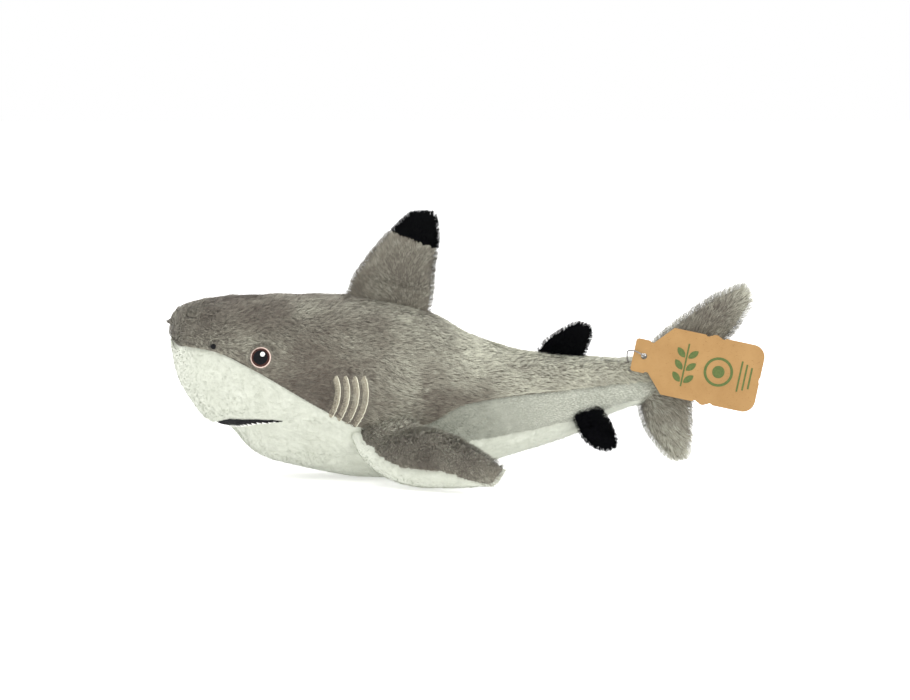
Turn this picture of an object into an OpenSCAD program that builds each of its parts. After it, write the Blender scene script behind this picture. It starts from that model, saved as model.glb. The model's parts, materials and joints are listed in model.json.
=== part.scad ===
// Plush reef shark lying on its belly, nose towards -X, its left side towards -Y.
// The origin is the middle of the footprint, on the surface that it lies on.

/* [Trunk] */
// Distance from the tip of the nose to the end of the stuffed trunk, mm
trunk_length = 288; // [240:2:340]
// Height of the trunk at its deepest, mm
trunk_depth = 119; // [100:1:140]
// Width of the trunk at its widest, mm
trunk_width = 106; // [90:1:124]
// Squareness of the trunk's cross-section, where 2 is an ellipse
trunk_square = 2.25; // [2:0.05:2.6]

/* [Fabric] */
// Thickness of the long grey and black pile with its backing, mm
pile_thick = 4; // [3:0.5:5]
// Thickness of the short white and light grey pile with its backing, mm
minky_thick = 2.5; // [2:0.5:3.5]
// Gap left between neighbouring pieces at a seam, mm
seam_gap = 0.3; // [0.2:0.05:0.5]
// Height of the embroidery above the pile around it, mm
stitch_height = 0.9; // [0.5:0.1:1.5]

/* [Fins] */
// Reach of a side fin from its seam to its tip, as a multiple of the usual one
side_fin_reach = 1; // [0.9:0.05:1.1]
// Half thickness of the back fin at its fattest, mm
back_fin_half = 10.5; // [8:0.5:13]
// Half thickness of the tail fin at its fattest, mm
tail_fin_half = 9; // [7:0.5:11]
// Half thickness of the second back fin and of a rear side fin, mm
small_fin_half = 5.5; // [4:0.5:7]

/* [Eyes and gills] */
// Outer radius of an embroidered eye, mm
eye_radius = 6.8; // [5:0.1:8]
// Width of one satin-stitched gill line, mm
gill_width = 2.6; // [1.5:0.1:3.5]
// Distance from one gill line to the next, mm
gill_step = 5.9; // [5:0.1:8]

/* [Hang tag] */
// Length of the card hang tag, mm
tag_length = 83.3; // [60:1:100]
// Width of the card hang tag, mm
tag_width = 44; // [30:1:50]
// Thickness of the card, mm
tag_thick = 0.8; // [0.5:0.1:1.5]
// Radius of the hole in the card, mm
tag_hole_radius = 2; // [1.6:0.1:2.2]
// Radius of the nylon loop's filament, mm
loop_radius = 0.45; // [0.3:0.05:0.6]

/* [Hidden] */

LEFT = -1;
RIGHT = 1;

// Colours of the fabrics, the thread and the card
grey_pile = [0.42, 0.40, 0.36];
flank_grey = [0.68, 0.69, 0.63];
white_pile = [0.90, 0.91, 0.86];
black_pile = [0.05, 0.05, 0.06];
stuffing = [0.96, 0.96, 0.94];
black_thread = [0.03, 0.03, 0.03];
cream_thread = [0.86, 0.85, 0.76];
eye_pink = [0.86, 0.72, 0.68];
eye_brown = [0.20, 0.09, 0.07];
kraft = [0.76, 0.60, 0.38];
print_green = [0.33, 0.45, 0.17];
nylon = [0.85, 0.85, 0.87];

// Places along the trunk, mm, at the usual trunk length
nose_x = -193;
trunk_span = 288;
long = trunk_length / trunk_span;
deep = trunk_depth / 119;
wide = trunk_width / 106;

// Outline of the trunk, as [distance behind the nose, height or half width]
back_line = [[0, 101], [1.5, 107], [6, 112], [16, 115.5], [31, 117.5], [54, 119], [118, 119],
    [145, 115], [171, 107.5], [193, 95.5], [216, 86.5], [242, 81.5], [281, 79], [320, 78.5]];
under_line = [[0, 90], [1.5, 82], [4, 68], [9, 57], [15, 48], [21, 40], [27, 35], [34, 34],
    [41, 31.5], [48, 23], [54, 17], [66, 11], [80, 7.5], [99, 3.5], [118, 0], [135, -1.5],
    [160, -1.2], [178, 1], [195, 4.5], [213, 10.5], [240, 18.5], [263, 26], [281, 35],
    [292, 42.5], [304, 45], [320, 45.5]];
side_line = [[0, 5], [1.5, 11], [5, 19], [10, 26], [18, 33], [30, 39.5], [50, 46], [80, 51],
    [110, 53], [140, 52.5], [165, 48.5], [190, 42], [220, 34], [250, 26], [275, 19], [288, 15.5],
    [320, 12.5]];

// Seams of the trunk, as [distance behind the nose, height]
grey_seam = [[0, 92], [2, 87.6], [12, 87.4], [31, 85.6], [52, 77], [75, 64.2], [98, 50],
    [108, 45], [123, 37], [145, 35.5], [163, 36.7], [174, 40], [182, 46], [192, 51.4],
    [205, 53.2], [225, 56], [248, 57.6], [285, 61.3], [320, 61.8]];
white_seam = [[30, 34], [45, 37.3], [60, 39.4], [76, 40], [100, 38.2], [123, 31], [150, 27.5], [175, 25.5],
    [203, 26.3], [225, 29.6], [248, 33.6], [270, 38], [288, 43.5], [320, 48]];

mouth_front = 33;     // where the mouth crosses the middle of the chin
mouth_corner = 76;    // where the mouth ends behind the nose

// Hinge of the tail, upright, and the round end of the tail root about it
tail_hinge_x = 109;
tail_root_radius = 13;
tail_root_end = 112;

// ---------- curves ----------

function interval(x, keys, i = 0) =
    i >= len(keys) - 2 || x < keys[i + 1][0] ? i : interval(x, keys, i + 1);

function key_slope(keys, i) =
    let (a = max(i - 1, 0), b = min(i + 1, len(keys) - 1))
    (keys[b][1] - keys[a][1]) / (keys[b][0] - keys[a][0]);

// A smooth curve through keys of [position, value]
function curve(x, keys) =
    let (
        i = interval(x, keys),
        step = keys[i + 1][0] - keys[i][0],
        u = min(max((x - keys[i][0]) / step, 0), 1),
        u2 = u * u,
        u3 = u2 * u
    )
    (2 * u3 - 3 * u2 + 1) * keys[i][1] + (u3 - 2 * u2 + u) * step * key_slope(keys, i)
    + (3 * u2 - 2 * u3) * keys[i + 1][1] + (u3 - u2) * step * key_slope(keys, i + 1);

// A smooth curve through evenly spaced keys, which can be numbers or points, for t from 0 to 1
function spline(t, keys) =
    let (
        last = len(keys) - 1,
        i = min(floor(t * last), last - 1),
        u = t * last - i,
        p0 = keys[max(i - 1, 0)],
        p1 = keys[i],
        p2 = keys[i + 1],
        p3 = keys[min(i + 2, last)]
    )
    p1 + 0.5 * u * (p2 - p0 + u * (2 * p0 - 5 * p1 + 4 * p2 - p3 + u * (3 * (p1 - p2) + p3 - p0)));

function unit(v) = v / norm(v);
function flip(p, side) = [p[0], side * p[1], p[2]];

// ---------- closed surfaces from grids and rings of points ----------

function grid_faces(rows, cols, first, turned) = [
    for (i = [0 : rows - 2], j = [0 : cols - 2], half = [0, 1])
        let (
            a = first + i * cols + j,
            tri = half == 0 ? [a, a + cols + 1, a + 1] : [a, a + cols, a + cols + 1]
        )
        turned ? [tri[2], tri[1], tri[0]] : tri
];

// Two triangles joining an edge of the outer grid to the same edge of the inner grid
function rim(a, b, shift) = [[a, b + shift, b], [a, a + shift, b + shift]];

// A shell between an outer and an inner grid of points
module shell(outer, inner) {
    rows = len(outer);
    cols = len(outer[0]);
    total = rows * cols;
    points = [for (grid = [outer, inner], row = grid, p = row) p];
    rims = [
        for (j = [0 : cols - 2])
            each concat(rim(j + 1, j, total), rim((rows - 1) * cols + j, (rows - 1) * cols + j + 1, total)),
        for (i = [0 : rows - 2])
            each concat(rim(i * cols, (i + 1) * cols, total),
                rim((i + 2) * cols - 1, (i + 1) * cols - 1, total))
    ];
    polyhedron(points, concat(
        grid_faces(rows, cols, 0, false), grid_faces(rows, cols, total, true), rims));
}

// A solid through closed rings of points, with flat ends
module loft(rings) {
    count = len(rings[0]);
    last = (len(rings) - 1) * count;
    points = [for (ring = rings, p = ring) p];
    walls = [
        for (i = [0 : len(rings) - 2], j = [0 : count - 1])
            let (a = i * count + j, b = i * count + (j + 1) % count)
            each [[a, b + count, b], [a, a + count, b + count]]
    ];
    ends = [
        for (j = [1 : count - 2])
            each [[0, j, j + 1], [last, last + j + 1, last + j]]
    ];
    polyhedron(points, concat(walls, ends));
}

// ---------- trunk ----------

// Share of an inset that also moves the blunt nose back, by distance behind the nose
function nose_share(s) = max(0, 1 - s / 40);
function top_at(s) = deep * curve(s, back_line);
function low_at(s) = deep * curve(s, under_line);
function half_at(s) = wide * curve(s, side_line);

function power(v, p) = sign(v) * pow(abs(v), p);

// A point of the trunk: s is the distance behind the nose, turn is 0 below, 90 at the side
// and 180 on top, and inset is how far under the surface it is
function trunk_point(s, turn, inset) =
    let (
        middle = (top_at(s) + low_at(s)) / 2,
        h = max((top_at(s) - low_at(s)) / 2 - inset, 0.4),
        w = max(half_at(s) - inset, 0.4)
    )
    [
        nose_x + long * s + inset * nose_share(s),
        w * power(sin(turn), 2 / trunk_square),
        middle - h * power(cos(turn), 2 / trunk_square)
    ];

// The turn at which the trunk's surface reaches a height
function turn_at(s, z) =
    let (
        middle = (top_at(s) + low_at(s)) / 2,
        h = (top_at(s) - low_at(s)) / 2,
        q = min(max((middle - deep * z) / h, -1), 1)
    )
    acos(power(q, trunk_square / 2));

function grey_turn(s) = turn_at(s, curve(s, grey_seam));
function white_turn(s) = turn_at(s, curve(s, white_seam));

// Half the gap at a seam, as a turn, a little wider where the seam meets the blunt nose
function gap_turn(s) = seam_gap / 2 / half_at(s) * 180 / PI + max(0, 2 - s / 4);

// Places of the rings of points along the trunk, close together at the nose. All its pieces
// share them, so that neighbours meet along their whole seam.
all_places = [for (i = [0 : 42]) trunk_span * pow(i / 42, 1.5)];
jaw_front = all_places[10];     // where the lower jaw begins
flank_front = all_places[29];   // where the light grey flank takes over from the white cheek
function places_between(from, to) =
    concat([from], [for (s = all_places) if (s > from + 0.8 && s < to - 0.8) s], [to]);

function strip(places, low, high, cols, inset, side) = [
    for (s = places) [
        for (j = [0 : cols])
            flip(trunk_point(s, low(s) + (high(s) - low(s)) * j / cols, inset), side)
    ]
];

// One panel of the trunk on one side, between two seams
module side_panel(places, low, high, cols, thick, side) {
    outer = strip(places, low, high, cols, 0, side);
    inner = strip(places, low, high, cols, thick, side);
    if (side == RIGHT)
        shell(outer, inner);
    else
        shell(inner, outer);
}

module back_panel(side) {
    low = function(s) grey_turn(s) + gap_turn(s);
    high = function(s) 180 - gap_turn(s);
    color(grey_pile)
        side_panel(places_between(0, trunk_span), low, high, 9, pile_thick, side);
}

module flank_panel(side) {
    low = function(s) white_turn(s) + gap_turn(s);
    high = function(s) grey_turn(s) - gap_turn(s);
    color(flank_grey)
        side_panel(places_between(flank_front, trunk_span), low, high, 3, minky_thick, side);
}

module upper_jaw_panel(side) {
    // From the middle of the chin to the mouth line, where the lower jaw takes over
    low = function(s) white_turn(s) + gap_turn(s);
    high = function(s) grey_turn(s) - gap_turn(s);
    color(white_pile)
        side_panel(places_between(0, flank_front), low, high, 6, minky_thick, side);
}

module belly_panel() {
    turn = function(s) white_turn(s) - gap_turn(s);
    places = places_between(jaw_front, trunk_span);
    grid = function(inset) [
        for (s = places) [
            for (j = [-9 : 9])
                let (p = trunk_point(s, turn(s) * abs(j) / 9, inset))
                j < 0 ? flip(p, LEFT) : p
        ]
    ];
    color(white_pile)
        difference() {
            shell(grid(0), grid(minky_thick));
            // The belly is pressed flat where the shark lies on it
            translate([nose_x, -trunk_width / 2, -20])
                cube([trunk_length, trunk_width, 20]);
        }
}

module trunk_filling() {
    inset = pile_thick + 3 * seam_gap;
    color(stuffing)
        loft([
            for (s = places_between(0.5, trunk_span)) [
                for (j = [0 : 23])
                    let (p = trunk_point(s, j <= 12 ? j * 15 : 360 - j * 15, inset))
                    j <= 12 ? p : flip(p, LEFT)
            ]
        ]);
}

// ---------- embroidery on the trunk ----------

// A point of the trunk's right side at a height, and the outward normal there
function skin_at(s, z, lift = 0) = trunk_point(s, turn_at(s, z), -lift);
function normal_at(s, turn) =
    unit(cross(trunk_point(s, turn + 3, 0) - trunk_point(s, turn - 3, 0),
        trunk_point(s + 1, turn, 0) - trunk_point(s - 1, turn, 0)));

// Puts its children on the trunk, their +Z outwards, clear of the pile's surface by a lift
module on_skin(s, z, side, lift) {
    out = normal_at(s, turn_at(s, z));
    back = unit(cross([0, 0, 1], out));
    up = cross(out, back);
    p = skin_at(s, z) + lift * out;
    mirror([0, side == LEFT ? 1 : 0, 0])
        multmatrix([
            [-back[0], up[0], out[0], p[0]],
            [-back[1], up[1], out[1], p[1]],
            [-back[2], up[2], out[2], p[2]],
            [0, 0, 0, 1]
        ])
            children();
}

module ring(outer, inner, height) {
    linear_extrude(height)
        difference() {
            circle(outer, $fn = 48);
            circle(inner, $fn = 48);
        }
}

eye_s = 62.5;
eye_z = 82;
eye_iris_radius = eye_radius * 0.87;
eye_pupil_radius = eye_radius * 0.68;
eye_glint_radius = eye_radius * 0.26;
eye_gap = 0.08;
eye_lift = 0.15;

module eye_rim(side) {
    color(eye_pink)
        on_skin(eye_s, eye_z, side, eye_lift)
            ring(eye_radius, eye_iris_radius + eye_gap, stitch_height * 0.8);
}

module eye_iris(side) {
    color(eye_brown)
        on_skin(eye_s, eye_z, side, eye_lift)
            ring(eye_iris_radius, eye_pupil_radius + eye_gap, stitch_height);
}

module eye_pupil(side) {
    color(black_thread)
        on_skin(eye_s, eye_z, side, eye_lift)
            linear_extrude(stitch_height)
                circle(eye_pupil_radius, $fn = 48);
}

module eye_glint(side) {
    color("white")
        on_skin(eye_s, eye_z, side, eye_lift + stitch_height + eye_gap)
            translate([0.2, 0.3, 0] * eye_radius)
                linear_extrude(stitch_height / 2)
                    circle(eye_glint_radius, $fn = 32);
}

module nostril(side) {
    color(black_thread)
        on_skin(32, 88.3, side, 0.1)
            linear_extrude(stitch_height)
                circle(1.6, $fn = 32);
}

thread_lift = 0.7;

// A flat-bottomed bar of thread along a path, with its height along the normals
module thread_bar(path, normals, half_widths) {
    last = len(path) - 1;
    loft([
        for (i = [0 : last])
            let (
                along = unit(path[min(i + 1, last)] - path[max(i - 1, 0)]),
                out = normals[i],
                across = half_widths[i] * cross(along, out),
                foot = path[i] + thread_lift * out
            )
            [foot + across, foot - across, foot - 0.6 * across + stitch_height * out,
                foot + 0.6 * across + stitch_height * out]
    ]);
}

gill_top = [110.6, 70];
gill_low = [107.2, 44.5];

// Four curved lines, one behind the other, each bowed towards the tail and closer at its foot
module gill_stitches(side) {
    for (k = [0 : 3]) {
        bow = 3.4 + 0.4 * k;
        top = gill_top + [gill_step * k, 0];
        low = gill_low + [gill_step * 0.86 * k, -2.1 * k];
        places = [
            for (i = [0 : 7])
                let (u = i / 7)
                top + (low - top) * u + [bow * sin(180 * u), 0]
        ];
        path = [for (q = places) skin_at(q[0], q[1])];
        normals = [for (q = places) normal_at(q[0], turn_at(q[0], q[1]))];
        color(cream_thread)
            mirror([0, side == LEFT ? 1 : 0, 0])
                thread_bar(path, normals, [for (q = places) gill_width / 2]);
    }
}

// Half of the mouth line, from the middle of the chin to a corner
function mouth_place(u) =
    let (s = mouth_front + (mouth_corner - mouth_front) * u * u)
    [s, max(white_turn(s), 3)];
function mouth_half(u) = 0.4 + 1.6 * pow(sin(180 * min(1, 0.15 + u * 0.85)), 0.7);

module mouth_embroidery() {
    places = [for (i = [-12 : 12]) concat(mouth_place(abs(i) / 12), sign(i))];
    path = [for (q = places) flip(trunk_point(q[0], q[1], 0), q[2] < 0 ? LEFT : RIGHT)];
    normals = [for (q = places) flip(normal_at(q[0], q[1]), q[2] < 0 ? LEFT : RIGHT)];
    color(black_thread)
        thread_bar(path, normals, [for (i = [-12 : 12]) mouth_half(abs(i) / 12)]);
}

teeth_count = 9;
tooth_size = 1.5;

// Small pointed teeth under the mouth line, on both sides
module teeth_embroidery() {
    color("white")
        for (side = [LEFT, RIGHT], i = [0 : teeth_count - 1]) {
            s = 41 + (mouth_corner - 8 - 41) * i / (teeth_count - 1);
            on_skin(s, curve(s, white_seam) - 4, side, 2 * thread_lift)
                linear_extrude(stitch_height)
                    polygon([[-tooth_size, 0], [0, -tooth_size], [tooth_size, 0], [0, tooth_size * 0.6]]);
        }
}

// ---------- fins ----------

// A fin is [front edge, rear edge, half thickness, root radius], each edge as evenly spaced
// keys from the root to the tip. Its root is rounded about the line of its hinge.

side_fin_front = [[-71, 53.8, 24.2], [-60, 63, 12.5], [-41, 75, 4.5], [-13, 90, 4], [19.5, 104, 6]];
side_fin_rear = [[-30, 53.2, 37.2], [-16.5, 62, 35.5], [-2.5, 74, 31.5], [11, 89, 25.5], [26, 105, 18]];
side_fin = [
    [for (p = side_fin_front) side_fin_front[0] + side_fin_reach * (p - side_fin_front[0])],
    [for (p = side_fin_rear) side_fin_rear[0] + side_fin_reach * (p - side_fin_rear[0])],
    [5, 10.5, 11.5, 9.5, 4], 5
];
back_fin = [
    [[-75, 0, 127.25], [-67.8, 0, 136], [-61.2, 0, 145.5], [-53.8, 0, 154], [-46, 0, 162],
        [-35.5, 0, 171.5]],
    [[-20.5, 0, 115.64], [-21, 0, 125], [-20.4, 0, 134], [-19.6, 0, 142], [-17.2, 0, 151],
        [-19, 0, 171.5]],
    [for (k = [6 / 10.5, 0.95, 1, 0.93, 0.8, 0.4]) k * back_fin_half], 6
];
second_fin = [
    [[46.5, 0, 86.36], [55.5, 0, 90.6], [64.5, 0, 96.1], [72.5, 0, 100]],
    [[78.5, 0, 84.3], [79.5, 0, 87.6], [81.5, 0, 92.1], [80, 0, 98]],
    [for (k = [3.5 / 5.5, 1, 0.9, 0.5]) k * small_fin_half], 3.5
];
rear_fin = [
    [[72, 21.6, 35.6], [75.5, 23.8, 29.5], [83.5, 25, 23], [92, 24.5, 20.8]],
    [[90.5, 15.2, 39.9], [94, 18.5, 34.5], [96.4, 21, 29], [96.8, 23, 24]],
    [for (k = [2.8 / 5.5, 1, 0.95, 0.55]) k * small_fin_half], 2.8
];
tail_fin = [
    [[180.5, 0, 125], [168, 0, 120], [154, 0, 112], [138, 0, 101], [123, 0, 88], [113.5, 0, 73],
        [112.8, 0, 50], [118.5, 0, 30], [133.5, 0, 11]],
    [[186.5, 0, 114], [178, 0, 101], [168, 0, 88], [158, 0, 77], [150, 0, 68], [147, 0, 60],
        [146, 0, 49], [146.5, 0, 31], [145.5, 0, 12.5]],
    [for (k = [0.45, 0.75, 0.9, 1, 1, 1, 0.95, 0.8, 0.45]) k * tail_fin_half], 0
];
back_fin_split = 0.8;

// Middle of the fin at t, and the directions along it, across it and out of its faces
function fin_frame(fin, t) =
    let (
        front = spline(t, fin[0]),
        rear = spline(t, fin[1]),
        t0 = max(t - 0.03, 0),
        t1 = min(t + 0.03, 1),
        along = unit(spline(t1, fin[0]) + spline(t1, fin[1]) - spline(t0, fin[0]) - spline(t0, fin[1])),
        across = rear - front
    )
    [front, across, along, unit(cross(along, across)), spline(t, fin[2])];

// One face of a fin's section: place is from -1 at the end of the rounded root, through 0 at
// the hinge, to 1 at the tip, and face is 1 or -1
function fin_section(fin, place, face, inset, lift, cols) =
    let (
        frame = fin_frame(fin, max(place, 0)),
        cap = place < 0 ? -place * 90 : 0,
        radius = fin[3] - inset,
        fat = place < 0 ? radius * cos(cap) : frame[4] - inset,
        shift = place < 0 ? -radius * sin(cap) : -inset * max(0, (place - 0.7) / 0.3),
        chord = norm(frame[1]),
        edge = min(inset / chord, 0.45)
    )
    [
        for (j = [0 : cols])
            let (
                angle = 180 * j / cols,
                c = edge + (1 - 2 * edge) * (1 - cos(angle)) / 2
            )
            frame[0] + c * frame[1] + shift * frame[2]
                + face * (max(fat, 0.15) * pow(sin(angle), 0.85) + lift) * frame[3]
    ];

root_places = [-1, -0.75, -0.5, -0.25];
function fin_places(from, to, count) =
    concat(from == 0 ? root_places : [], [for (i = [0 : count]) from + (to - from) * i / count]);

// The fabric of one face of a fin, or of a stretch of it
module fin_skin(fin, face, thick, from, to, count, cols) {
    places = fin_places(from, to, count);
    grid = function(inset) [
        for (p = places) fin_section(fin, p, face, inset, seam_gap / 2, cols)
    ];
    if (face > 0)
        shell(grid(thick), grid(0));
    else
        shell(grid(0), grid(thick));
}

module fin_solid(fin, inset, from, to, count, cols) {
    loft([
        for (p = fin_places(from, to, count))
            let (
                over = fin_section(fin, p, 1, inset, 0, cols),
                under = fin_section(fin, p, -1, inset, 0, cols)
            )
            concat([for (j = [0 : cols]) under[j]], [for (j = [cols - 1 : -1 : 1]) over[j]])
    ]);
}

module side_fin_top(side) {
    color(grey_pile)
        mirror([0, side == LEFT ? 1 : 0, 0])
            fin_skin(side_fin, -1, pile_thick, 0, 1, 12, 6);
}

module side_fin_underside(side) {
    color(white_pile)
        mirror([0, side == LEFT ? 1 : 0, 0])
            fin_skin(side_fin, 1, minky_thick, 0, 1, 12, 6);
}

module side_fin_filling(side) {
    color(stuffing)
        mirror([0, side == LEFT ? 1 : 0, 0])
            fin_solid(side_fin, pile_thick + seam_gap, 0, 1, 10, 5);
}

module back_fin_side(face) {
    color(grey_pile)
        fin_skin(back_fin, face, pile_thick, 0, back_fin_split, 9, 6);
}

module back_fin_tip() {
    gap_t = 0.006;
    color(black_pile)
        difference() {
            fin_solid(back_fin, 0, back_fin_split + gap_t, 1, 5, 6);
            fin_solid(back_fin, pile_thick, back_fin_split - gap_t, 1, 6, 6);
        }
}

module back_fin_filling() {
    color(stuffing)
        fin_solid(back_fin, pile_thick + 2 * seam_gap, 0, 1, 9, 5);
}

module second_back_fin() {
    color(black_pile)
        fin_solid(second_fin, 0, 0, 1, 7, 6);
}

// One of the pair that hangs from the side seams below the second back fin
module rear_side_fin(side) {
    color(black_pile)
        mirror([0, side == LEFT ? 1 : 0, 0])
            fin_solid(rear_fin, 0, 0, 1, 7, 6);
}

// The tail fin runs from its upper tip, past its seam on the tail root, to its lower tip
module tail_fin_side(face) {
    places = [for (i = [0 : 24]) i / 24];
    grid = function(inset) [
        for (p = places) fin_section(tail_fin, p, face, inset, seam_gap / 2, 6)
    ];
    color(grey_pile)
        if (face > 0)
            shell(grid(pile_thick), grid(0));
        else
            shell(grid(0), grid(pile_thick));
}

module tail_fin_filling() {
    inset = pile_thick + seam_gap;
    color(stuffing)
        loft([
            for (i = [1 : 23])
                let (
                    over = fin_section(tail_fin, i / 24, 1, inset, 0, 5),
                    under = fin_section(tail_fin, i / 24, -1, inset, 0, 5)
                )
                concat([for (j = [0 : 5]) under[j]], [for (j = [4 : -1 : 1]) over[j]])
        ]);
}

// ---------- tail root ----------

// A point of the tail root: place is from -1 at its rounded front, through 0 at the hinge,
// to 1 at the tail fin
function root_point(place, turn, inset) =
    let (
        radius = tail_root_radius - inset,
        x = place < 0 ? tail_hinge_x - radius * sin(-90 * place)
            : tail_hinge_x + (tail_root_end - tail_hinge_x) * place,
        w = place < 0 ? radius * cos(-90 * place) : radius,
        s = x - nose_x,
        middle = (top_at(s) + low_at(s)) / 2,
        h = (top_at(s) - low_at(s)) / 2 - inset
    )
    [
        x,
        max(w, 0.1) * power(sin(turn), 2 / trunk_square),
        middle - h * power(cos(turn), 2 / trunk_square)
    ];

tail_root_places = [-1, -0.85, -0.7, -0.55, -0.4, -0.25, -0.1, 0, 1];

// Where the loop's filament runs under the fabric of the tail root
loop_stitch_x = 105.5;
loop_stitch_y = -7.6;
loop_stitch_low = 70.5;
loop_stitch_top = 76;

module loop_channel() {
    mouth_radius = 4.5;
    mouth_depth = 3;
    translate([loop_stitch_x, loop_stitch_y, loop_stitch_low])
        cylinder(h = loop_stitch_top - loop_stitch_low, r = loop_radius + 0.7, $fn = 24);
    for (z = [loop_stitch_low - mouth_depth / 2, loop_stitch_top - mouth_depth / 2 + 0.8])
        translate([loop_stitch_x, loop_stitch_y, z])
            cylinder(h = mouth_depth, r = mouth_radius, $fn = 32);
}

module tail_root_panel(side) {
    grid = function(inset) [
        for (p = tail_root_places) [
            for (j = [0 : 12])
                flip(root_point(p, 1 + 178 * j / 12, inset), side)
        ]
    ];
    color(grey_pile)
        difference() {
            if (side == RIGHT)
                shell(grid(0), grid(pile_thick));
            else
                shell(grid(pile_thick), grid(0));
            if (side == LEFT)
                loop_channel();
        }
}

module tail_root_filling() {
    inset = pile_thick + seam_gap;
    color(stuffing)
        difference() {
            loft([
                for (p = tail_root_places) [
                    for (j = [0 : 15])
                        let (q = root_point(p, j <= 8 ? j * 22.5 : 360 - j * 22.5, inset))
                        j <= 8 ? q : flip(q, LEFT)
                ]
            ]);
            loop_channel();
        }
}

// ---------- hang tag ----------

tag_hole_x = 115.3;
tag_hole_y = -21;
tag_hole_z = 80.4;
tag_slope = -12;
tag_neck = 7;               // from the top of the card to its hole
cap_length = 10;
cap_half = 10.8;
neck_half = 9.8;
corner_radius = 8;
print_height = 0.12;

// Along the loop: down the stitch, behind the card, through its hole and over its edge
loop_path = [
    [105.5, -7.6, 72], [105.5, -7.6, 75], [104.8, -12, 80.8], [105.6, -19.5, 84],
    [110, -23.6, 83.8], [115.3, -21.1, 80.4], [114.4, -17.6, 78], [111, -14.5, 73.5],
    [106.8, -11, 70.4]
];

function loop_at(t) =
    let (
        n = len(loop_path),
        i = floor(t * n),
        u = t * n - i,
        p0 = loop_path[(i + n - 1) % n],
        p1 = loop_path[i % n],
        p2 = loop_path[(i + 1) % n],
        p3 = loop_path[(i + 2) % n]
    )
    p1 + 0.5 * u * (p2 - p0 + u * (2 * p0 - 5 * p1 + 4 * p2 - p3 + u * (3 * (p1 - p2) + p3 - p0)));

module tag_loop() {
    rings = 36;
    sides = 8;
    // A direction that the filament never runs along
    reference = unit([0.3, 0.5, -0.8]);
    points = [
        for (i = [0 : rings - 1])
            let (
                along = unit(loop_at((i + 1) % rings / rings) - loop_at((i + rings - 1) % rings / rings)),
                a = unit(cross(along, reference)),
                b = cross(along, a)
            )
            for (j = [0 : sides - 1])
                let (angle = 360 * j / sides)
                loop_at(i / rings) + loop_radius * (cos(angle) * a + sin(angle) * b)
    ];
    faces = [
        for (i = [0 : rings - 1], j = [0 : sides - 1])
            let (
                a = i * sides + j,
                b = i * sides + (j + 1) % sides,
                c = (i + 1) % rings * sides + (j + 1) % sides,
                d = (i + 1) % rings * sides + j
            )
            each [[a, c, b], [a, d, c]]
    ];
    color(nylon)
        polyhedron(points, faces);
}

// Lays a flat drawing on the card, with its first axis down the bottle from the cap
module on_tag(lift) {
    translate([tag_hole_x, tag_hole_y, tag_hole_z])
        rotate([90, 0, 0])
            rotate([0, 0, tag_slope])
                translate([-tag_neck, 0, lift])
                    children();
}

module rounded(low_x, high_x, half, radius) {
    translate([low_x + radius, -half])
        square([high_x - low_x - 2 * radius, 2 * half]);
    translate([low_x, -half + radius])
        square([high_x - low_x, 2 * half - 2 * radius]);
    for (x = [low_x + radius, high_x - radius], y = [-half + radius, half - radius])
        translate([x, y])
            circle(radius, $fn = 48);
}

// Outline of a bottle: cap, shoulders, a waist with two dents, and a round-cornered foot
module bottle_outline() {
    half = tag_width / 2;
    shoulder = cap_length + 12.5;
    waist = tag_length * 0.6;
    rounded(0, cap_length, cap_half, 2);
    polygon([[cap_length - 2, -neck_half], [cap_length + 1.5, -neck_half], [shoulder, -half],
        [shoulder + 2, -half], [shoulder + 2, half], [shoulder, half],
        [cap_length + 1.5, neck_half], [cap_length - 2, neck_half]]);
    difference() {
        union() {
            translate([shoulder + 1, -half])
                square([waist - shoulder, 2 * half]);
            rounded(shoulder + 1, tag_length, half, corner_radius);
            for (side = [-1, 1])
                translate([waist, side * (half - 2.5)])
                    circle(3.6, $fn = 32);
        }
        for (side = [-1, 1], x = [-5, 5])
            translate([waist + x, side * (half + 1)])
                circle(1.9, $fn = 32);
        translate([tag_length + 3.4, 0])
            circle(4, $fn = 32);
    }
}

module hang_tag() {
    color(kraft)
        on_tag(-tag_thick / 2)
            difference() {
                linear_extrude(tag_thick)
                    bottle_outline();
                translate([tag_neck, 0, -1])
                    cylinder(h = tag_thick + 2, r = tag_hole_radius, $fn = 32);
            }
}

// A pointed leaf as the overlap of two circles
module leaf(length) {
    radius = length * 0.62;
    reach = sqrt(radius * radius - length * length / 4);
    intersection() {
        translate([0, reach])
            circle(radius, $fn = 48);
        translate([0, -reach])
            circle(radius, $fn = 48);
    }
}

// Plain printed ornaments: a sprig of leaves, a ring with a dot, and three bars
module tag_print() {
    color(print_green)
        on_tag(tag_thick / 2 + 0.02)
            linear_extrude(print_height) {
                translate([34, 0])
                    square([1, 28], center = true);
                for (side = [-1, 1], y = [-10, -2, 6])
                    translate([34 + side * 4, y + 1.5])
                        rotate(90 - side * 45)
                            leaf(8);
                translate([56, 0])
                    difference() {
                        circle(9.5, $fn = 48);
                        circle(7.8, $fn = 48);
                    }
                translate([56, 0])
                    circle(4, $fn = 48);
                for (i = [0 : 2])
                    translate([70 + 3.4 * i, 0])
                        square([1.1, 20 - 3 * i], center = true);
            }
}

// ---------- everything is drawn by name ----------

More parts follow.
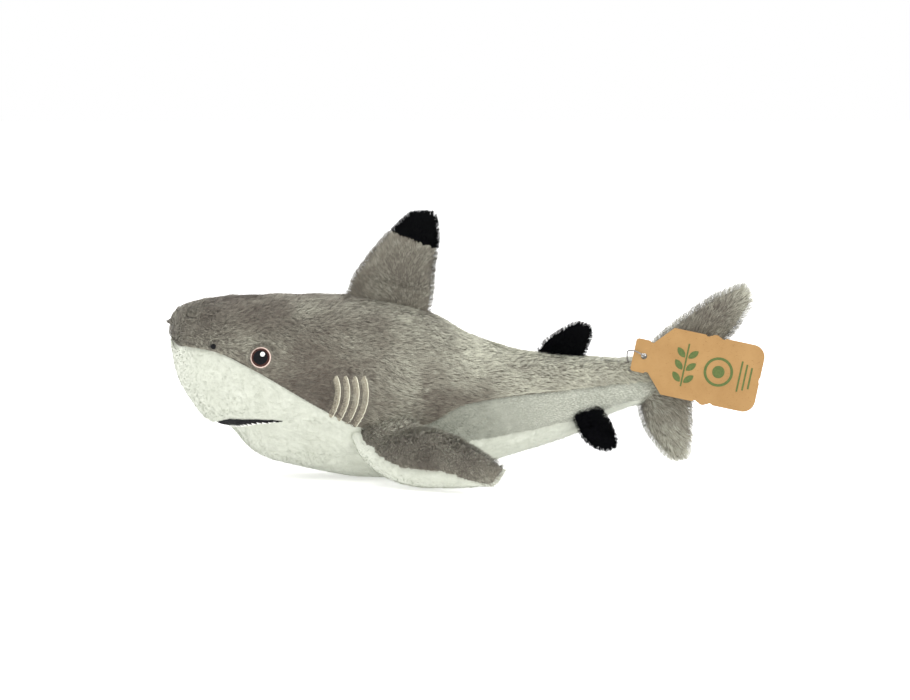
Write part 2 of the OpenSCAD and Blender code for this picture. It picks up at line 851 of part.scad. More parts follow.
back_panel(LEFT);  // back_left_panel
back_panel(RIGHT);  // back_right_panel
flank_panel(LEFT);  // flank_left_panel
flank_panel(RIGHT);  // flank_right_panel
upper_jaw_panel(LEFT);  // upper_jaw_left_panel
upper_jaw_panel(RIGHT);  // upper_jaw_right_panel
belly_panel();
trunk_filling();
mouth_embroidery();
teeth_embroidery();
eye_rim(LEFT);  // left_eye_rim
eye_iris(LEFT);  // left_eye_iris
eye_pupil(LEFT);  // left_eye_pupil
eye_glint(LEFT);  // left_eye_glint
eye_rim(RIGHT);  // right_eye_rim
eye_iris(RIGHT);  // right_eye_iris
eye_pupil(RIGHT);  // right_eye_pupil
eye_glint(RIGHT);  // right_eye_glint
nostril(LEFT);  // left_nostril
nostril(RIGHT);  // right_nostril
gill_stitches(LEFT);  // left_gill_stitches
gill_stitches(RIGHT);  // right_gill_stitches
side_fin_top(LEFT);  // left_fin_top
side_fin_underside(LEFT);  // left_fin_underside
side_fin_filling(LEFT);  // left_fin_filling
side_fin_top(RIGHT);  // right_fin_top
side_fin_underside(RIGHT);  // right_fin_underside
side_fin_filling(RIGHT);  // right_fin_filling
back_fin_side(LEFT);  // back_fin_left_side
back_fin_side(RIGHT);  // back_fin_right_side
back_fin_tip();
back_fin_filling();
second_back_fin();
rear_side_fin(LEFT);  // left_rear_fin
rear_side_fin(RIGHT);  // right_rear_fin
tail_root_panel(LEFT);  // tail_root_left_panel
tail_root_panel(RIGHT);  // tail_root_right_panel
tail_root_filling();
tail_fin_side(RIGHT);  // tail_fin_left_side
tail_fin_side(LEFT);  // tail_fin_right_side
tail_fin_filling();
tag_loop();
hang_tag();
tag_print();
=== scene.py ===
"""The looks of the plush shark: stuffed fabric skins, long and short pile, embroidery and the
card tag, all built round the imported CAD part."""

import math

import bpy
import json
import numpy as np
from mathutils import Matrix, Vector
from mathutils.bvhtree import BVHTree
from mathutils.kdtree import KDTree


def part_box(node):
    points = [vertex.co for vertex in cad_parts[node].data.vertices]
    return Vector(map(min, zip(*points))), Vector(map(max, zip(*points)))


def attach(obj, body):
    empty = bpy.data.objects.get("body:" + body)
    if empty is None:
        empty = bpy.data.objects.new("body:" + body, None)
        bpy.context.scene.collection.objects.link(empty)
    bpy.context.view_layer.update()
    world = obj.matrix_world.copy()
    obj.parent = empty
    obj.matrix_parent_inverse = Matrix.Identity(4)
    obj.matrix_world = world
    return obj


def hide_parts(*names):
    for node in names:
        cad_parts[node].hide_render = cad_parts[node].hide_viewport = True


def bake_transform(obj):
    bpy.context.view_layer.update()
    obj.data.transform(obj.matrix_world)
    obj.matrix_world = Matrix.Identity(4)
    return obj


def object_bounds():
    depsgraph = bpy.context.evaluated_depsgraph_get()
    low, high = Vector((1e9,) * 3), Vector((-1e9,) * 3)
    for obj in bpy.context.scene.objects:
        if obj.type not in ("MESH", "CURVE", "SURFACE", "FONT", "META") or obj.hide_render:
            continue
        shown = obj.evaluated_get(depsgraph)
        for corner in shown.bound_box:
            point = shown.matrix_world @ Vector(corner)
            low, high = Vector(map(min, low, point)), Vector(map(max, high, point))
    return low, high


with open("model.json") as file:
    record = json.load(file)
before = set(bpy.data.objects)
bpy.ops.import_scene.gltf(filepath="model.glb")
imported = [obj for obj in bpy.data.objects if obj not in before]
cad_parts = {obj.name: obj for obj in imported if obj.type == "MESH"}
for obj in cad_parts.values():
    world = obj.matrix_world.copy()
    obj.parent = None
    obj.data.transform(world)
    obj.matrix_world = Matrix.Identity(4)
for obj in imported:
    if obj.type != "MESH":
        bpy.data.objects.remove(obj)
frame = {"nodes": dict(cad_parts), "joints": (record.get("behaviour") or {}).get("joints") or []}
cad_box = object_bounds()
rng = np.random.default_rng(896)
MM = 0.001
LEFT, RIGHT = -1, 1
SIDE_NAME = {LEFT: "left", RIGHT: "right"}

# ---------- numbers and points ----------

LATTICE = rng.random((32, 32, 32))


def noise(points, size):
    """Smooth noise from 0 to 1, with features of that size in metres."""
    q = points / size
    low = np.floor(q).astype(int)
    f = q - low
    f = f * f * (3 - 2 * f)
    total = np.zeros(len(points))
    for corner in range(8):
        c = np.array([(corner >> k) & 1 for k in range(3)])
        weight = np.prod(np.where(c, f, 1 - f), axis=1)
        j = (low + c) % 32
        total += weight * LATTICE[j[:, 0], j[:, 1], j[:, 2]]
    return total


def unit(v):
    return v / np.maximum(np.linalg.norm(v, axis=-1, keepdims=True), 1e-12)


def smooth(x):
    x = np.clip(x, 0, 1)
    return x * x * (3 - 2 * x)


def nearest(points, targets):
    """Distance from each point to the nearest target, and which target that is."""
    tree = KDTree(len(targets))
    for i, p in enumerate(targets):
        tree.insert(p, i)
    tree.balance()
    found = [tree.find(p) for p in points]
    return np.array([f[2] for f in found]), np.array([f[1] for f in found])


def resampled(line, step):
    """Places evenly spaced along a line of points, the line's length, and the points there."""
    length = np.concatenate([[0], np.cumsum(np.linalg.norm(np.diff(line, axis=0), axis=1))])
    at = np.arange(0, length[-1], step)
    return at, length[-1], np.stack([np.interp(at, length, line[:, k]) for k in range(3)], axis=1)


# ---------- meshes ----------


def make_mesh(name, verts, *blocks):
    """A smooth mesh from points and blocks of faces, where a block's faces have as many corners."""
    me = bpy.data.meshes.new(name)
    me.vertices.add(len(verts))
    me.vertices.foreach_set("co", np.asarray(verts, np.float32).ravel())
    blocks = [b for b in blocks if len(b)]
    corners = np.concatenate([b.ravel() for b in blocks]).astype(np.int32)
    sizes = np.concatenate([np.full(len(b), b.shape[1]) for b in blocks])
    me.loops.add(len(corners))
    me.loops.foreach_set("vertex_index", corners)
    me.polygons.add(len(sizes))
    starts = np.concatenate([[0], np.cumsum(sizes)[:-1]]).astype(np.int32)
    me.polygons.foreach_set("loop_start", starts)
    me.update(calc_edges=True)
    me.validate()
    me.shade_smooth()
    return me


def make_object(name, me, material=None):
    ob = bpy.data.objects.new(name, me)
    bpy.context.scene.collection.objects.link(ob)
    if material is not None:
        me.materials.append(material)
    return ob


def corner_array(me, kind, attribute, count):
    """An attribute of a mesh's vertices (v), faces (f) or face corners (l), as an array."""
    source = {"v": me.vertices, "f": me.polygons, "l": me.loops}[kind]
    dtype = np.float32 if attribute in ("co", "normal") else np.int32
    values = np.empty(len(source) * count, dtype)
    source.foreach_get(attribute, values)
    return values.reshape(-1, count) if count > 1 else values


def evaluated(ob):
    """Points, four-cornered faces and face labels of an object with its modifiers applied."""
    bpy.context.view_layer.update()
    me = ob.evaluated_get(bpy.context.evaluated_depsgraph_get()).to_mesh()
    co = corner_array(me, "v", "co", 3).astype(float)
    quads = corner_array(me, "l", "vertex_index", 1).reshape(-1, 4)
    label = corner_array(me, "f", "material_index", 1)
    return co, quads, label


def point_normals(co, *groups):
    """Normals at the points of one or more groups of faces, of three or four corners each."""
    total = np.zeros_like(co)
    for faces in groups:
        flat = np.cross(co[faces[:, 2]] - co[faces[:, 0]], co[faces[:, -1]] - co[faces[:, 1]])
        for k in range(faces.shape[1]):
            np.add.at(total, faces[:, k], flat)
    return unit(total)


def cad_points(name):
    return corner_array(frame["nodes"][name].data, "v", "co", 3).astype(float)


def cad_surface(names):
    """A tree for rays and nearest points over CAD nodes, and which node each of its faces is of."""
    verts, faces, owner = [], [], []
    for k, name in enumerate(names):
        me = frame["nodes"][name].data
        first = len(verts)
        verts += [v.co.copy() for v in me.vertices]
        for p in me.polygons:
            faces.append([first + i for i in p.vertices])
            owner.append(k)
    return BVHTree.FromPolygons(verts, faces), owner


# ---------- fabric ----------


def inflate(ob, held, cap):
    """Settles a fabric by a cloth simulation under pressure, its seams held. It acts faintly:
    points move by hundredths of a millimetre on average, and none further than cap."""
    before = corner_array(ob.data, "v", "co", 3).astype(float)
    group = ob.vertex_groups.new(name="seam")
    group.add([int(i) for i in held], 1.0, "REPLACE")
    cloth = ob.modifiers.new("Cloth", "CLOTH")
    s = cloth.settings
    s.quality = 6
    s.mass = 0.2
    s.tension_stiffness = s.compression_stiffness = 18
    s.bending_stiffness = 0.4
    s.air_damping = 3
    s.use_pressure = True
    s.uniform_pressure_force = 4.0
    s.vertex_group_mass = "seam"
    s.effector_weights.gravity = 0
    cloth.collision_settings.use_collision = False
    cloth.point_cache.frame_end = 22
    for f in range(1, 21):
        bpy.context.scene.frame_set(f)
    me = ob.evaluated_get(bpy.context.evaluated_depsgraph_get()).to_mesh()
    after = corner_array(me, "v", "co", 3).astype(float)
    ob.modifiers.remove(cloth)
    bpy.context.scene.frame_set(1)
    move = after - before
    far = np.linalg.norm(move, axis=1, keepdims=True)
    move *= np.minimum(1, cap / np.maximum(far, 1e-9))
    ob.data.vertices.foreach_set("co", (before + move).astype(np.float32).ravel())
    return before + move


def subdivided(ob):
    """Points, faces and labels after one smooth subdivision. The object is then removed."""
    ob.modifiers.new("Smooth", "SUBSURF").levels = 1
    made = evaluated(ob)
    bpy.data.objects.remove(ob)
    return made


def part_of(co, faces, chosen):
    """The points and faces of the chosen faces alone."""
    faces = faces[chosen]
    used, new = np.unique(faces, return_inverse=True)
    return co[used], new.reshape(faces.shape), used


def label_edges(faces, label):
    """Points where faces with different labels meet."""
    lowest = np.full(faces.max() + 1, 999)
    highest = np.full(faces.max() + 1, -1)
    for k in range(faces.shape[1]):
        np.minimum.at(lowest, faces[:, k], label)
        np.maximum.at(highest, faces[:, k], label)
    return np.where((highest >= 0) & (lowest != highest))[0]


# ---------- trunk: a grid of rings read from the CAD panels ----------

TRUNK_PANELS = [
    "belly_panel", "upper_jaw_right_panel", "flank_right_panel", "back_right_panel",
    "tail_root_right_panel",
]
trunk_tree, trunk_owner = cad_surface(TRUNK_PANELS)
nose_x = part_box("back_right_panel")[0].x
trunk_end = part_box("back_right_panel")[1].x
tail_root_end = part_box("tail_root_right_panel")[1].x
trunk_span = trunk_end - nose_x
mouth_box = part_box("mouth_embroidery")
TURNS = np.radians(np.arange(0.5, 180, 0.5))
BELLY_COLS, CHEEK_COLS, BACK_COLS = 12, 10, 20


def edge_height(x, up):
    """Height of the top or the bottom of the trunk at x, beside the seam along its middle."""
    found = []
    for y in (0.6, 1.2, 2.0, 3.0):
        start = Vector((x, y * MM, 1 if up else -1))
        hit = trunk_tree.ray_cast(start, Vector((0, 0, -1 if up else 1)))
        if hit[0] is not None:
            found.append(hit[0].z)
    return max(found) if up else min(found)


def read_ring(x, middle):
    """Radius about a middle height at each of TURNS, and the turns of the white and grey seams."""
    radius, owner = [], []
    for t in TURNS:
        out = Vector((0, math.sin(t), -math.cos(t)))
        hit = trunk_tree.ray_cast(Vector((x, 0, middle)) + 0.3 * out, -out)
        radius.append(0.3 - hit[3] if hit[0] is not None else np.nan)
        owner.append(trunk_owner[hit[2]] if hit[0] is not None else -1)
    radius, owner = np.array(radius), np.array(owner)
    usual = np.nanmedian(radius)
    good = (owner >= 0) & (radius > 0.35 * usual)
    radius = np.interp(TURNS, TURNS[good], radius[good])
    side = TURNS[good & ((owner == 1) | (owner == 2))]
    if len(side):
        white, grey = side.min(), side.max()
    else:
        white = grey = np.nan
    if not (owner == 0).any():
        white = 0
    return radius, white, grey


count = 104
places = 0.4 * MM + (trunk_span - 0.9 * MM) * (np.arange(count) / (count - 1)) ** 1.45
root_places = np.array([tail_root_end - 2.5 * MM, tail_root_end - 0.3 * MM]) - nose_x
known = np.concatenate([places, root_places])
top = np.array([edge_height(nose_x + s, True) for s in known])
low = np.array([edge_height(nose_x + s, False) for s in known])
whole = top - low > 8 * MM      # elsewhere the way up is through the gap of a seam
whole &= low < np.interp(known, known[whole], low[whole]) + 1
steady = whole & (np.abs(low - np.median([np.roll(low, k) for k in (-3, 0, 3)], axis=0)) < 9 * MM)
low = np.interp(known, known[steady], low[steady])
heights = (top + low) / 2
rings = [read_ring(nose_x + s, h) for s, h in zip(known, heights)]
# The skin goes on past the hinge, and ends inside the tail fin
bridge = np.arange(places[-1] + 2.6 * MM, tail_root_end - nose_x + 14 * MM, 2.6 * MM)
stations = np.concatenate([places, bridge])
middle = np.interp(stations, known, heights)
radius = np.array([r[0] for r in rings])
radius = np.stack([np.interp(stations, known, radius[:, k]) for k in range(len(TURNS))], axis=1)
past = np.maximum(stations - (tail_root_end - nose_x), 0) / (14 * MM)
radius *= (1 - 0.3 * past**1.5)[:, None]
white_known = np.array([r[1] for r in rings])
grey_known = np.array([r[2] for r in rings])
fine = ~np.isnan(grey_known)
grey_turn = np.interp(stations, known[fine], grey_known[fine])
white_seam = np.interp(stations, known[fine], white_known[fine])
mouth_front = mouth_box[0].x - nose_x + 1.2 * MM
mouth_corner = mouth_box[1].x - nose_x
corner_turn = np.interp(mouth_corner, stations, white_seam)
ahead = smooth((mouth_corner - stations) / mouth_corner)
white_turn = np.where(
    stations > mouth_corner, white_seam, corner_turn + (math.radians(52) - corner_turn) * ahead
)
for _ in range(2):
    for line in (white_turn, grey_turn):
        line[1:-1] = (line[:-2] + 2 * line[1:-1] + line[2:]) / 4


def skin_point(s, turn):
    """Points on the CAD surface, by distance behind the nose and turn, which is negative on the
    left."""
    i = np.clip(np.searchsorted(stations, s) - 1, 0, len(stations) - 2)
    f = np.clip((s - stations[i]) / (stations[i + 1] - stations[i]), 0, 1)
    size = np.abs(turn)
    j = np.clip((size - TURNS[0]) / (TURNS[1] - TURNS[0]), 0, len(TURNS) - 1.001)
    k = j.astype(int)
    g = j - k
    r = (1 - f) * ((1 - g) * radius[i, k] + g * radius[i, k + 1]) + f * (
        (1 - g) * radius[i + 1, k] + g * radius[i + 1, k + 1]
    )
    m = (1 - f) * middle[i] + f * middle[i + 1]
    return np.stack([nose_x + s, r * np.sin(turn), m - r * np.cos(turn)], axis=-1)


def seam_turn(s):
    """The turn of the seam between belly and cheek or flank, with the mouth on its front part."""
    return np.interp(s, stations, white_seam)


def trunk_grid():
    """One welded sheet round the trunk: its points, faces and the fabric that each face is of."""
    cols = []
    for i, s in enumerate(stations):
        half = np.concatenate([
            np.linspace(0, white_turn[i], BELLY_COLS + 1)[:-1],
            np.linspace(white_turn[i], grey_turn[i], CHEEK_COLS + 1)[:-1],
            np.linspace(grey_turn[i], math.pi, BACK_COLS + 1),
        ])
        cols.append(np.concatenate([half, -half[-2:0:-1]]))
    cols = np.array(cols)
    rows, n = cols.shape
    s = np.repeat(stations, n)
    co = skin_point(s, cols.ravel())
    faces = []
    for i in range(rows - 1):
        j = np.arange(n)
        a, b = i * n + j, i * n + (j + 1) % n
        faces.append(np.stack([a, b, b + n, a + n], axis=1))
    faces = np.concatenate(faces)
    col = np.tile(np.arange(n), rows - 1)
    row = np.repeat(np.arange(rows - 1), n)
    side = np.where(col < n // 2, RIGHT, LEFT)
    across = np.where(col < n // 2, col, n - 1 - col)
    at = stations[row]
    flank_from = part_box("flank_right_panel")[0].x - nose_x
    label = np.where(
        across < BELLY_COLS, 0,
        np.where(across < BELLY_COLS + CHEEK_COLS, np.where(at < flank_from - 0.5 * MM, 1, 3), 5),
    )
    low_front = (label == 0) & (
        (at < mouth_front) | (np.abs(cols[row, col]) > seam_turn(at)) & (at < mouth_corner)
    )
    label[low_front] = 1
    label = np.where(label > 0, label + (side == LEFT), label)
    # Round off the blunt nose and the hidden end with a pole each
    front = co[:n].mean(0)
    co[:n] = front + 0.93 * (co[:n] - front) + [0.2 * MM, 0, 0]
    caps, extra = [], []
    for first, sign in ((0, -1), ((rows - 1) * n, 1)):
        ring = co[first : first + n]
        mid = ring.mean(0)
        start = len(co) + sum(len(e) for e in extra)
        inner = mid + 0.55 * (ring - mid) + [sign * 0.9 * MM, 0, 0]
        extra.append(np.concatenate([inner, [mid + [sign * 1.2 * MM, 0, 0]]]))
        j = np.arange(n)
        a, b = first + j, first + (j + 1) % n
        c, d = start + j, start + (j + 1) % n
        pole = np.full(n, start + n)
        ends = label[:n] if sign < 0 else label[-n:]
        if sign < 0:
            caps.append((np.stack([b, a, c, d], 1), np.stack([d, c, pole], 1), ends))
        else:
            caps.append((np.stack([a, b, d, c], 1), np.stack([c, d, pole], 1), ends))
    co = np.concatenate([co, *extra])
    quads = np.concatenate([faces, caps[0][0], caps[1][0]])
    tris = np.concatenate([caps[0][1], caps[1][1]])
    label = np.concatenate([label, caps[0][2], caps[1][2], caps[0][2], caps[1][2]])
    return co, quads, tris, label


TRUNK_LABELS = [
    "belly", "upper_jaw_right", "upper_jaw_left", "flank_right", "flank_left", "back_right",
    "back_left",
]


# ---------- materials ----------


def set_inputs(shader, values):
    for name, value in values.items():
        shader.inputs[name].default_value = value


def new_material(name):
    mat = bpy.data.materials.new(name)
    mat.use_nodes = True
    tree = mat.node_tree
    tree.nodes.clear()
    out = tree.nodes.new("ShaderNodeOutputMaterial")
    shader = tree.nodes.new("ShaderNodeBsdfPrincipled")
    tree.links.new(shader.outputs[0], out.inputs["Surface"])
    return mat, tree, shader


def ramp_node(tree, source, stops):
    """A colour ramp through (position, linear colour) stops."""
    node = tree.nodes.new("ShaderNodeValToRGB")
    while len(node.color_ramp.elements) < len(stops):
        node.color_ramp.elements.new(0.5)
    for element, (place, colour) in zip(node.color_ramp.elements, stops):
        element.position = place
        element.color = (*colour, 1)
    tree.links.new(source, node.inputs["Fac"])
    return node.outputs["Color"]


def noise_node(tree, scale, detail=4.0, rough=0.6, stretch=None):
    coords = tree.nodes.new("ShaderNodeTexCoord")
    node = tree.nodes.new("ShaderNodeTexNoise")
    node.inputs["Scale"].default_value = scale
    node.inputs["Detail"].default_value = detail
    node.inputs["Roughness"].default_value = rough
    source = coords.outputs["Object"]
    if stretch is not None:
        mapping = tree.nodes.new("ShaderNodeMapping")
        mapping.inputs["Scale"].default_value = stretch
        tree.links.new(source, mapping.inputs["Vector"])
        source = mapping.outputs[0]
    tree.links.new(source, node.inputs["Vector"])
    return node.outputs["Fac"]


def bump(tree, shader, height, strength, distance):
    node = tree.nodes.new("ShaderNodeBump")
    node.inputs["Strength"].default_value = strength
    node.inputs["Distance"].default_value = distance
    tree.links.new(height, node.inputs["Height"])
    tree.links.new(node.outputs[0], shader.inputs["Normal"])


def mixed(tree, a, b, factor, kind="MULTIPLY"):
    node = tree.nodes.new("ShaderNodeMix")
    node.data_type = "RGBA"
    node.blend_type = kind
    node.inputs["Factor"].default_value = factor
    tree.links.new(a, node.inputs["A"])
    tree.links.new(b, node.inputs["B"])
    return node.outputs["Result"]


def cloth_material(name, dark, light, grain, strength, sheen=0.25, pit_shade=0.62):
    """The backing between the strands of a pile: mottled, matt, and rough to the touch."""
    mat, tree, shader = new_material(name)
    blotches = ramp_node(tree, noise_node(tree, 55, 3), [(0.3, dark), (0.7, light)])
    fibres = noise_node(tree, grain, 6, 0.75)
    # The low points of the fibres' bump are made darker: painted shade in the pits of the cloth
    shades = ramp_node(tree, fibres, [(0.25, (pit_shade,) * 3), (0.75, (1, 1, 1))])
    tree.links.new(mixed(tree, blotches, shades, 0.9), shader.inputs["Base Color"])
    bump(tree, shader, fibres, strength, 0.6 * MM)
    set_inputs(shader, {"Roughness": 0.95, "Specular IOR Level": 0.4 * sheen,
                        "Sheen Weight": sheen, "Sheen Roughness": 0.6})
    return mat


def strand_material(name, stops, root, sheen=0.2, spec=0.2):
    """Fibres: the strand's map holds its tone across and the place from root to tip upwards."""
    mat, tree, shader = new_material(name)
    uv = tree.nodes.new("ShaderNodeUVMap")
    uv.uv_map = STRAND_MAP
    split = tree.nodes.new("ShaderNodeSeparateXYZ")
    tree.links.new(uv.outputs[0], split.inputs[0])
    tone = ramp_node(tree, split.outputs["X"], stops)
    # Each strand darkens towards its root: on the grey pile partly its own frosted colour, and on
    # every pile painted shade down among the strands
    shade = ramp_node(tree, split.outputs["Y"], [(0.0, (root,) * 3), (0.75, (1, 1, 1))])
    tree.links.new(mixed(tree, tone, shade, 1.0), shader.inputs["Base Color"])
    set_inputs(shader, {"Roughness": 0.8, "Specular IOR Level": spec, "Sheen Weight": sheen,
                        "Sheen Roughness": 0.5})
    return mat


def thread_material(name, dark, light, rough=0.5, spec=0.4):
    """Shiny embroidery thread, with the tones of its turns."""
    mat, tree, shader = new_material(name)
    tones = ramp_node(tree, noise_node(tree, 900, 3, 0.6), [(0.3, dark), (0.7, light)])
    tree.links.new(tones, shader.inputs["Base Color"])
    bump(tree, shader, noise_node(tree, 2600, 2), 0.35, 0.1 * MM)
    set_inputs(shader, {"Roughness": rough, "Specular IOR Level": spec})
    return mat


STRAND_MAP = "OFBake"
GREY_STOPS = [
    (0.0, (0.10, 0.080, 0.066)), (0.28, (0.20, 0.172, 0.138)), (0.5, (0.31, 0.29, 0.232)),
    (0.75, (0.48, 0.47, 0.38)), (1.0, (0.70, 0.70, 0.57)),
]
SKIN = {
    "grey": cloth_material("grey_backing", (0.17, 0.15, 0.125), (0.26, 0.24, 0.195), 420, 0.7),
    "flank": cloth_material("flank_backing", (0.33, 0.34, 0.28), (0.40, 0.41, 0.345), 520, 0.35,
                            pit_shade=0.82),
    "white": cloth_material("white_backing", (0.60, 0.62, 0.53), (0.67, 0.69, 0.60), 520, 0.35,
                            pit_shade=0.82),
    "black": cloth_material("black_backing", (0.003, 0.003, 0.004), (0.008, 0.008, 0.010), 420,
                            0.7, 0.0),
}
PILE = {
    "grey": strand_material("grey_fibres", GREY_STOPS, 0.62),
    "flank": strand_material(
        "flank_fibres", [(0.0, (0.22, 0.232, 0.19)), (1.0, (0.72, 0.74, 0.645))], 0.8),
    "white": strand_material(
        "white_fibres", [(0.0, (0.56, 0.585, 0.50)), (1.0, (0.70, 0.73, 0.635))], 0.86),
    "black": strand_material(
        "black_fibres", [(0.0, (0.002, 0.0022, 0.0025)), (0.8, (0.005, 0.0055, 0.006)),
                         (1.0, (0.014, 0.015, 0.016))], 0.6, 0.0, 0.04),
}
THREAD = {
    "black": thread_material("black_thread", (0.003, 0.003, 0.004), (0.010, 0.010, 0.012), 0.6,
                             0.12),
    "white": thread_material("white_thread", (0.75, 0.75, 0.70), (0.93, 0.93, 0.88)),
    "brown": thread_material("brown_thread", (0.028, 0.009, 0.007), (0.075, 0.026, 0.020), 0.55,
                             0.2),
    "pink": thread_material("pink_thread", (0.58, 0.42, 0.36), (0.80, 0.64, 0.56)),
    "cream": thread_material("cream_thread", (0.62, 0.60, 0.46), (0.84, 0.82, 0.68)),
    "beige": thread_material("beige_thread", (0.29, 0.265, 0.20), (0.45, 0.42, 0.33), 0.7, 0.2),
}

# ---------- pile ----------

# (strands per cm2, length, width of a strand, lean at the tip in degrees, how far clumps pull)
PILES = {
    "grey": (300, 5.8, 0.23, 63, 0.42),
    "flank": (260, 1.7, 0.26, 58, 0.1),
    "white": (150, 1.6, 0.28, 58, 0.1),
    "black": (330, 4.3, 0.40, 34, 0.4),
}


def tailward(points):
    """The way the pile of the trunk is brushed: back and a little down, and up the blunt nose."""
    down = np.where(points[:, 2] > 0.02, -0.28, 0.0)
    front = smooth(1 - (points[:, 0] - nose_x) / (14 * MM)) * (points[:, 2] > 0.08)
    return np.stack([np.ones(len(points)), np.zeros(len(points)), down + 2.2 * front], axis=1)


def grow_pile(name, kind, co, faces, normals, brush, clear=None, spared=None, scale=1.0,
              shade=0.0, lean=None):
    """Strands of pile rooted on a fabric's faces. Around the clear points, each with its
    radius, none grow and the near ones are short."""
    density, length, width, usual_lean, pull = PILES[kind]
    lean = lean or usual_lean
    length, width = length * MM * scale, width * MM
    tris = np.concatenate([faces[:, [0, 1, 2]], faces[:, [0, 2, 3]]])
    a, b, c = (co[tris[:, k]] for k in range(3))
    area = np.linalg.norm(np.cross(b - a, c - a), axis=1) / 2
    total = int(area.sum() * 1e4 * density)
    pick = np.searchsorted(np.cumsum(area) / area.sum(), rng.random(total))
    u, v = rng.random(total), rng.random(total)
    over = u + v > 1
    u[over], v[over] = 1 - u[over], 1 - v[over]
    u, v = u[:, None], v[:, None]
    roots = a[pick] * (1 - u - v) + b[pick] * u + c[pick] * v
    out = unit(normals[tris[pick, 0]] * (1 - u - v) + normals[tris[pick, 1]] * u
               + normals[tris[pick, 2]] * v)
    short = np.ones(total)
    keep = np.ones(total, bool)
    if clear is not None:
        margin = 0.02
        near = (roots > clear[:, :3].min(0) - margin).all(1)
        near &= (roots < clear[:, :3].max(0) + margin).all(1)
        where = np.where(near)[0]
        if len(where):
            far, which = nearest(roots[where], clear[:, :3])
            room = far - clear[which, 3]
            keep[where[room < 0]] = False
            short[where] = np.clip(0.3 + room / (5 * MM), 0.3, 1)
    if spared is not None:
        keep &= ~spared(roots)
    roots, out, short = roots[keep], out[keep], short[keep]
    total = len(roots)
    # Brushing, turned here and there by hands and packing
    way = brush(roots)
    way = unit(way - out * (way * out).sum(1)[:, None])
    turn = (noise(roots, 0.024) - 0.5) * 1.1 + (noise(roots + 7, 0.008) - 0.5) * 0.5
    turn += rng.normal(0, 0.16, total)
    # The blunt nose has a shorter, straighter pile
    ahead = smooth((roots[:, 0] - nose_x) / 0.03)
    turn *= 0.35 + 0.65 * ahead
    aside = np.cross(out, way)
    way = way * np.cos(turn)[:, None] + aside * np.sin(turn)[:, None]
    rise = np.radians(lean * (0.8 + 0.4 * noise(roots + 3, 0.012)) + rng.normal(0, 7, total))
    long = length * short * (0.8 + 0.3 * noise(roots + 11, 0.009)) * rng.uniform(0.75, 1.15, total)
    long *= 0.6 + 0.4 * ahead
    low = unit(out * np.cos(0.5 * rise)[:, None] + way * np.sin(0.5 * rise)[:, None])
    high = unit(out * np.cos(1.15 * rise)[:, None] + way * np.sin(1.15 * rise)[:, None])
    mids = roots + low * (0.5 * long)[:, None]
    tips = mids + high * (0.5 * long)[:, None]
    tone = rng.normal(0, 0.05, total)
    if pull > 0:
        seeds = rng.choice(total, max(total // 16, 1), replace=False)
        far, which = nearest(roots, roots[seeds])
        hold = pull * np.exp(-((far / (2.4 * MM)) ** 2)) * rng.uniform(0.5, 1.2, total)
        tips += (tips[seeds][which] - tips) * hold[:, None]
        mids += (mids[seeds][which] - mids) * (0.4 * hold)[:, None]
        tone += rng.normal(0, 0.055, len(seeds))[which]
    # Mottling, and streaks that run the way of the brush
    streaks = noise(np.stack([(roots * way).sum(1) * 0.3, roots[:, 1] + roots[:, 0] * 0.1,
                              roots[:, 2] - roots[:, 0] * way[:, 2]], axis=1), 0.0045)
    mottle, streak = (0.36, 0.26) if pull > 0.2 else (0.14, 0.05)
    tone += 0.5 + mottle * (noise(roots + 5, 0.016) + noise(roots + 9, 0.05) - 1)
    tone += streak * (streaks - 0.5)
    # The shade given moves the tone; on the trunk's grey and flank piles it is painted light and
    # shade by place
    tone = np.clip(tone + (shade(roots) if callable(shade) else shade), 0.02, 0.98)
    # A ribbon across the strand, turned about it by chance
    along = unit(tips - roots)
    flat = unit(np.cross(along, out))
    spin = rng.uniform(-0.9, 0.9, total)[:, None]
    flat = unit(flat * np.cos(spin) + out * np.sin(spin))
    half = (0.5 * width * rng.uniform(0.7, 1.3, total))[:, None]
    sunk = roots - out * 0.4 * MM
    verts = np.stack([sunk - flat * half, sunk + flat * half, mids - flat * half * 0.85,
                      mids + flat * half * 0.85, tips], axis=1)
    first = 5 * np.arange(total)[:, None]
    quads = first + np.array([0, 1, 3, 2])
    tris = first + np.array([2, 3, 4])
    me = make_mesh(name, verts.reshape(-1, 3), quads, tris)
    uv = me.uv_layers.new(name=STRAND_MAP)
    t = tone[:, None]
    left, right = t - 0.004, t + 0.004
    zero, half_way, one = np.zeros_like(t), np.full_like(t, 0.55), np.ones_like(t)
    quad_uv = np.stack([np.hstack([left, right, right, left]),
                        np.hstack([zero, zero, half_way, half_way])], axis=2)
    tri_uv = np.stack([np.hstack([left, right, t]), np.hstack([half_way, half_way, one])], axis=2)
    uv.data.foreach_set("uv", np.concatenate([quad_uv.ravel(), tri_uv.ravel()]).astype(np.float32))
    lit = np.repeat(unit(out + along * 0.15)[:, None, :], 5, axis=1)
    own = np.cross(verts[:, 1] - verts[:, 0], verts[:, 2] - verts[:, 0])
    own = unit(own) * np.sign((own * out).sum(1))[:, None]
    lit = unit(lit + 0.3 * own[:, None, :])
    me.normals_split_custom_set_from_vertices(lit.reshape(-1, 3).tolist())
    ob = make_object(name, me, PILE[kind])
    return ob


# ---------- the trunk's skin ----------


def point_means(faces, values, count):
    """At each of so many points, the mean of the values of its four-cornered faces."""
    total, often = np.zeros(count), np.zeros(count)
    for k in range(4):
        np.add.at(total, faces[:, k], values)
        np.add.at(often, faces[:, k], 1)
    return total / often


def line_pull(co, normals, line, depth, width, ripple=0.0):
    """Draws a skin in along a sewn line, with small gathers beside it."""
    far, which = nearest(co, line)
    pull = depth * np.exp(-((far / width) ** 2))
    if ripple:
        pull *= 1 + ripple * (noise(co + 2, 0.006) - 0.5)
    return co - normals * pull[:, None]


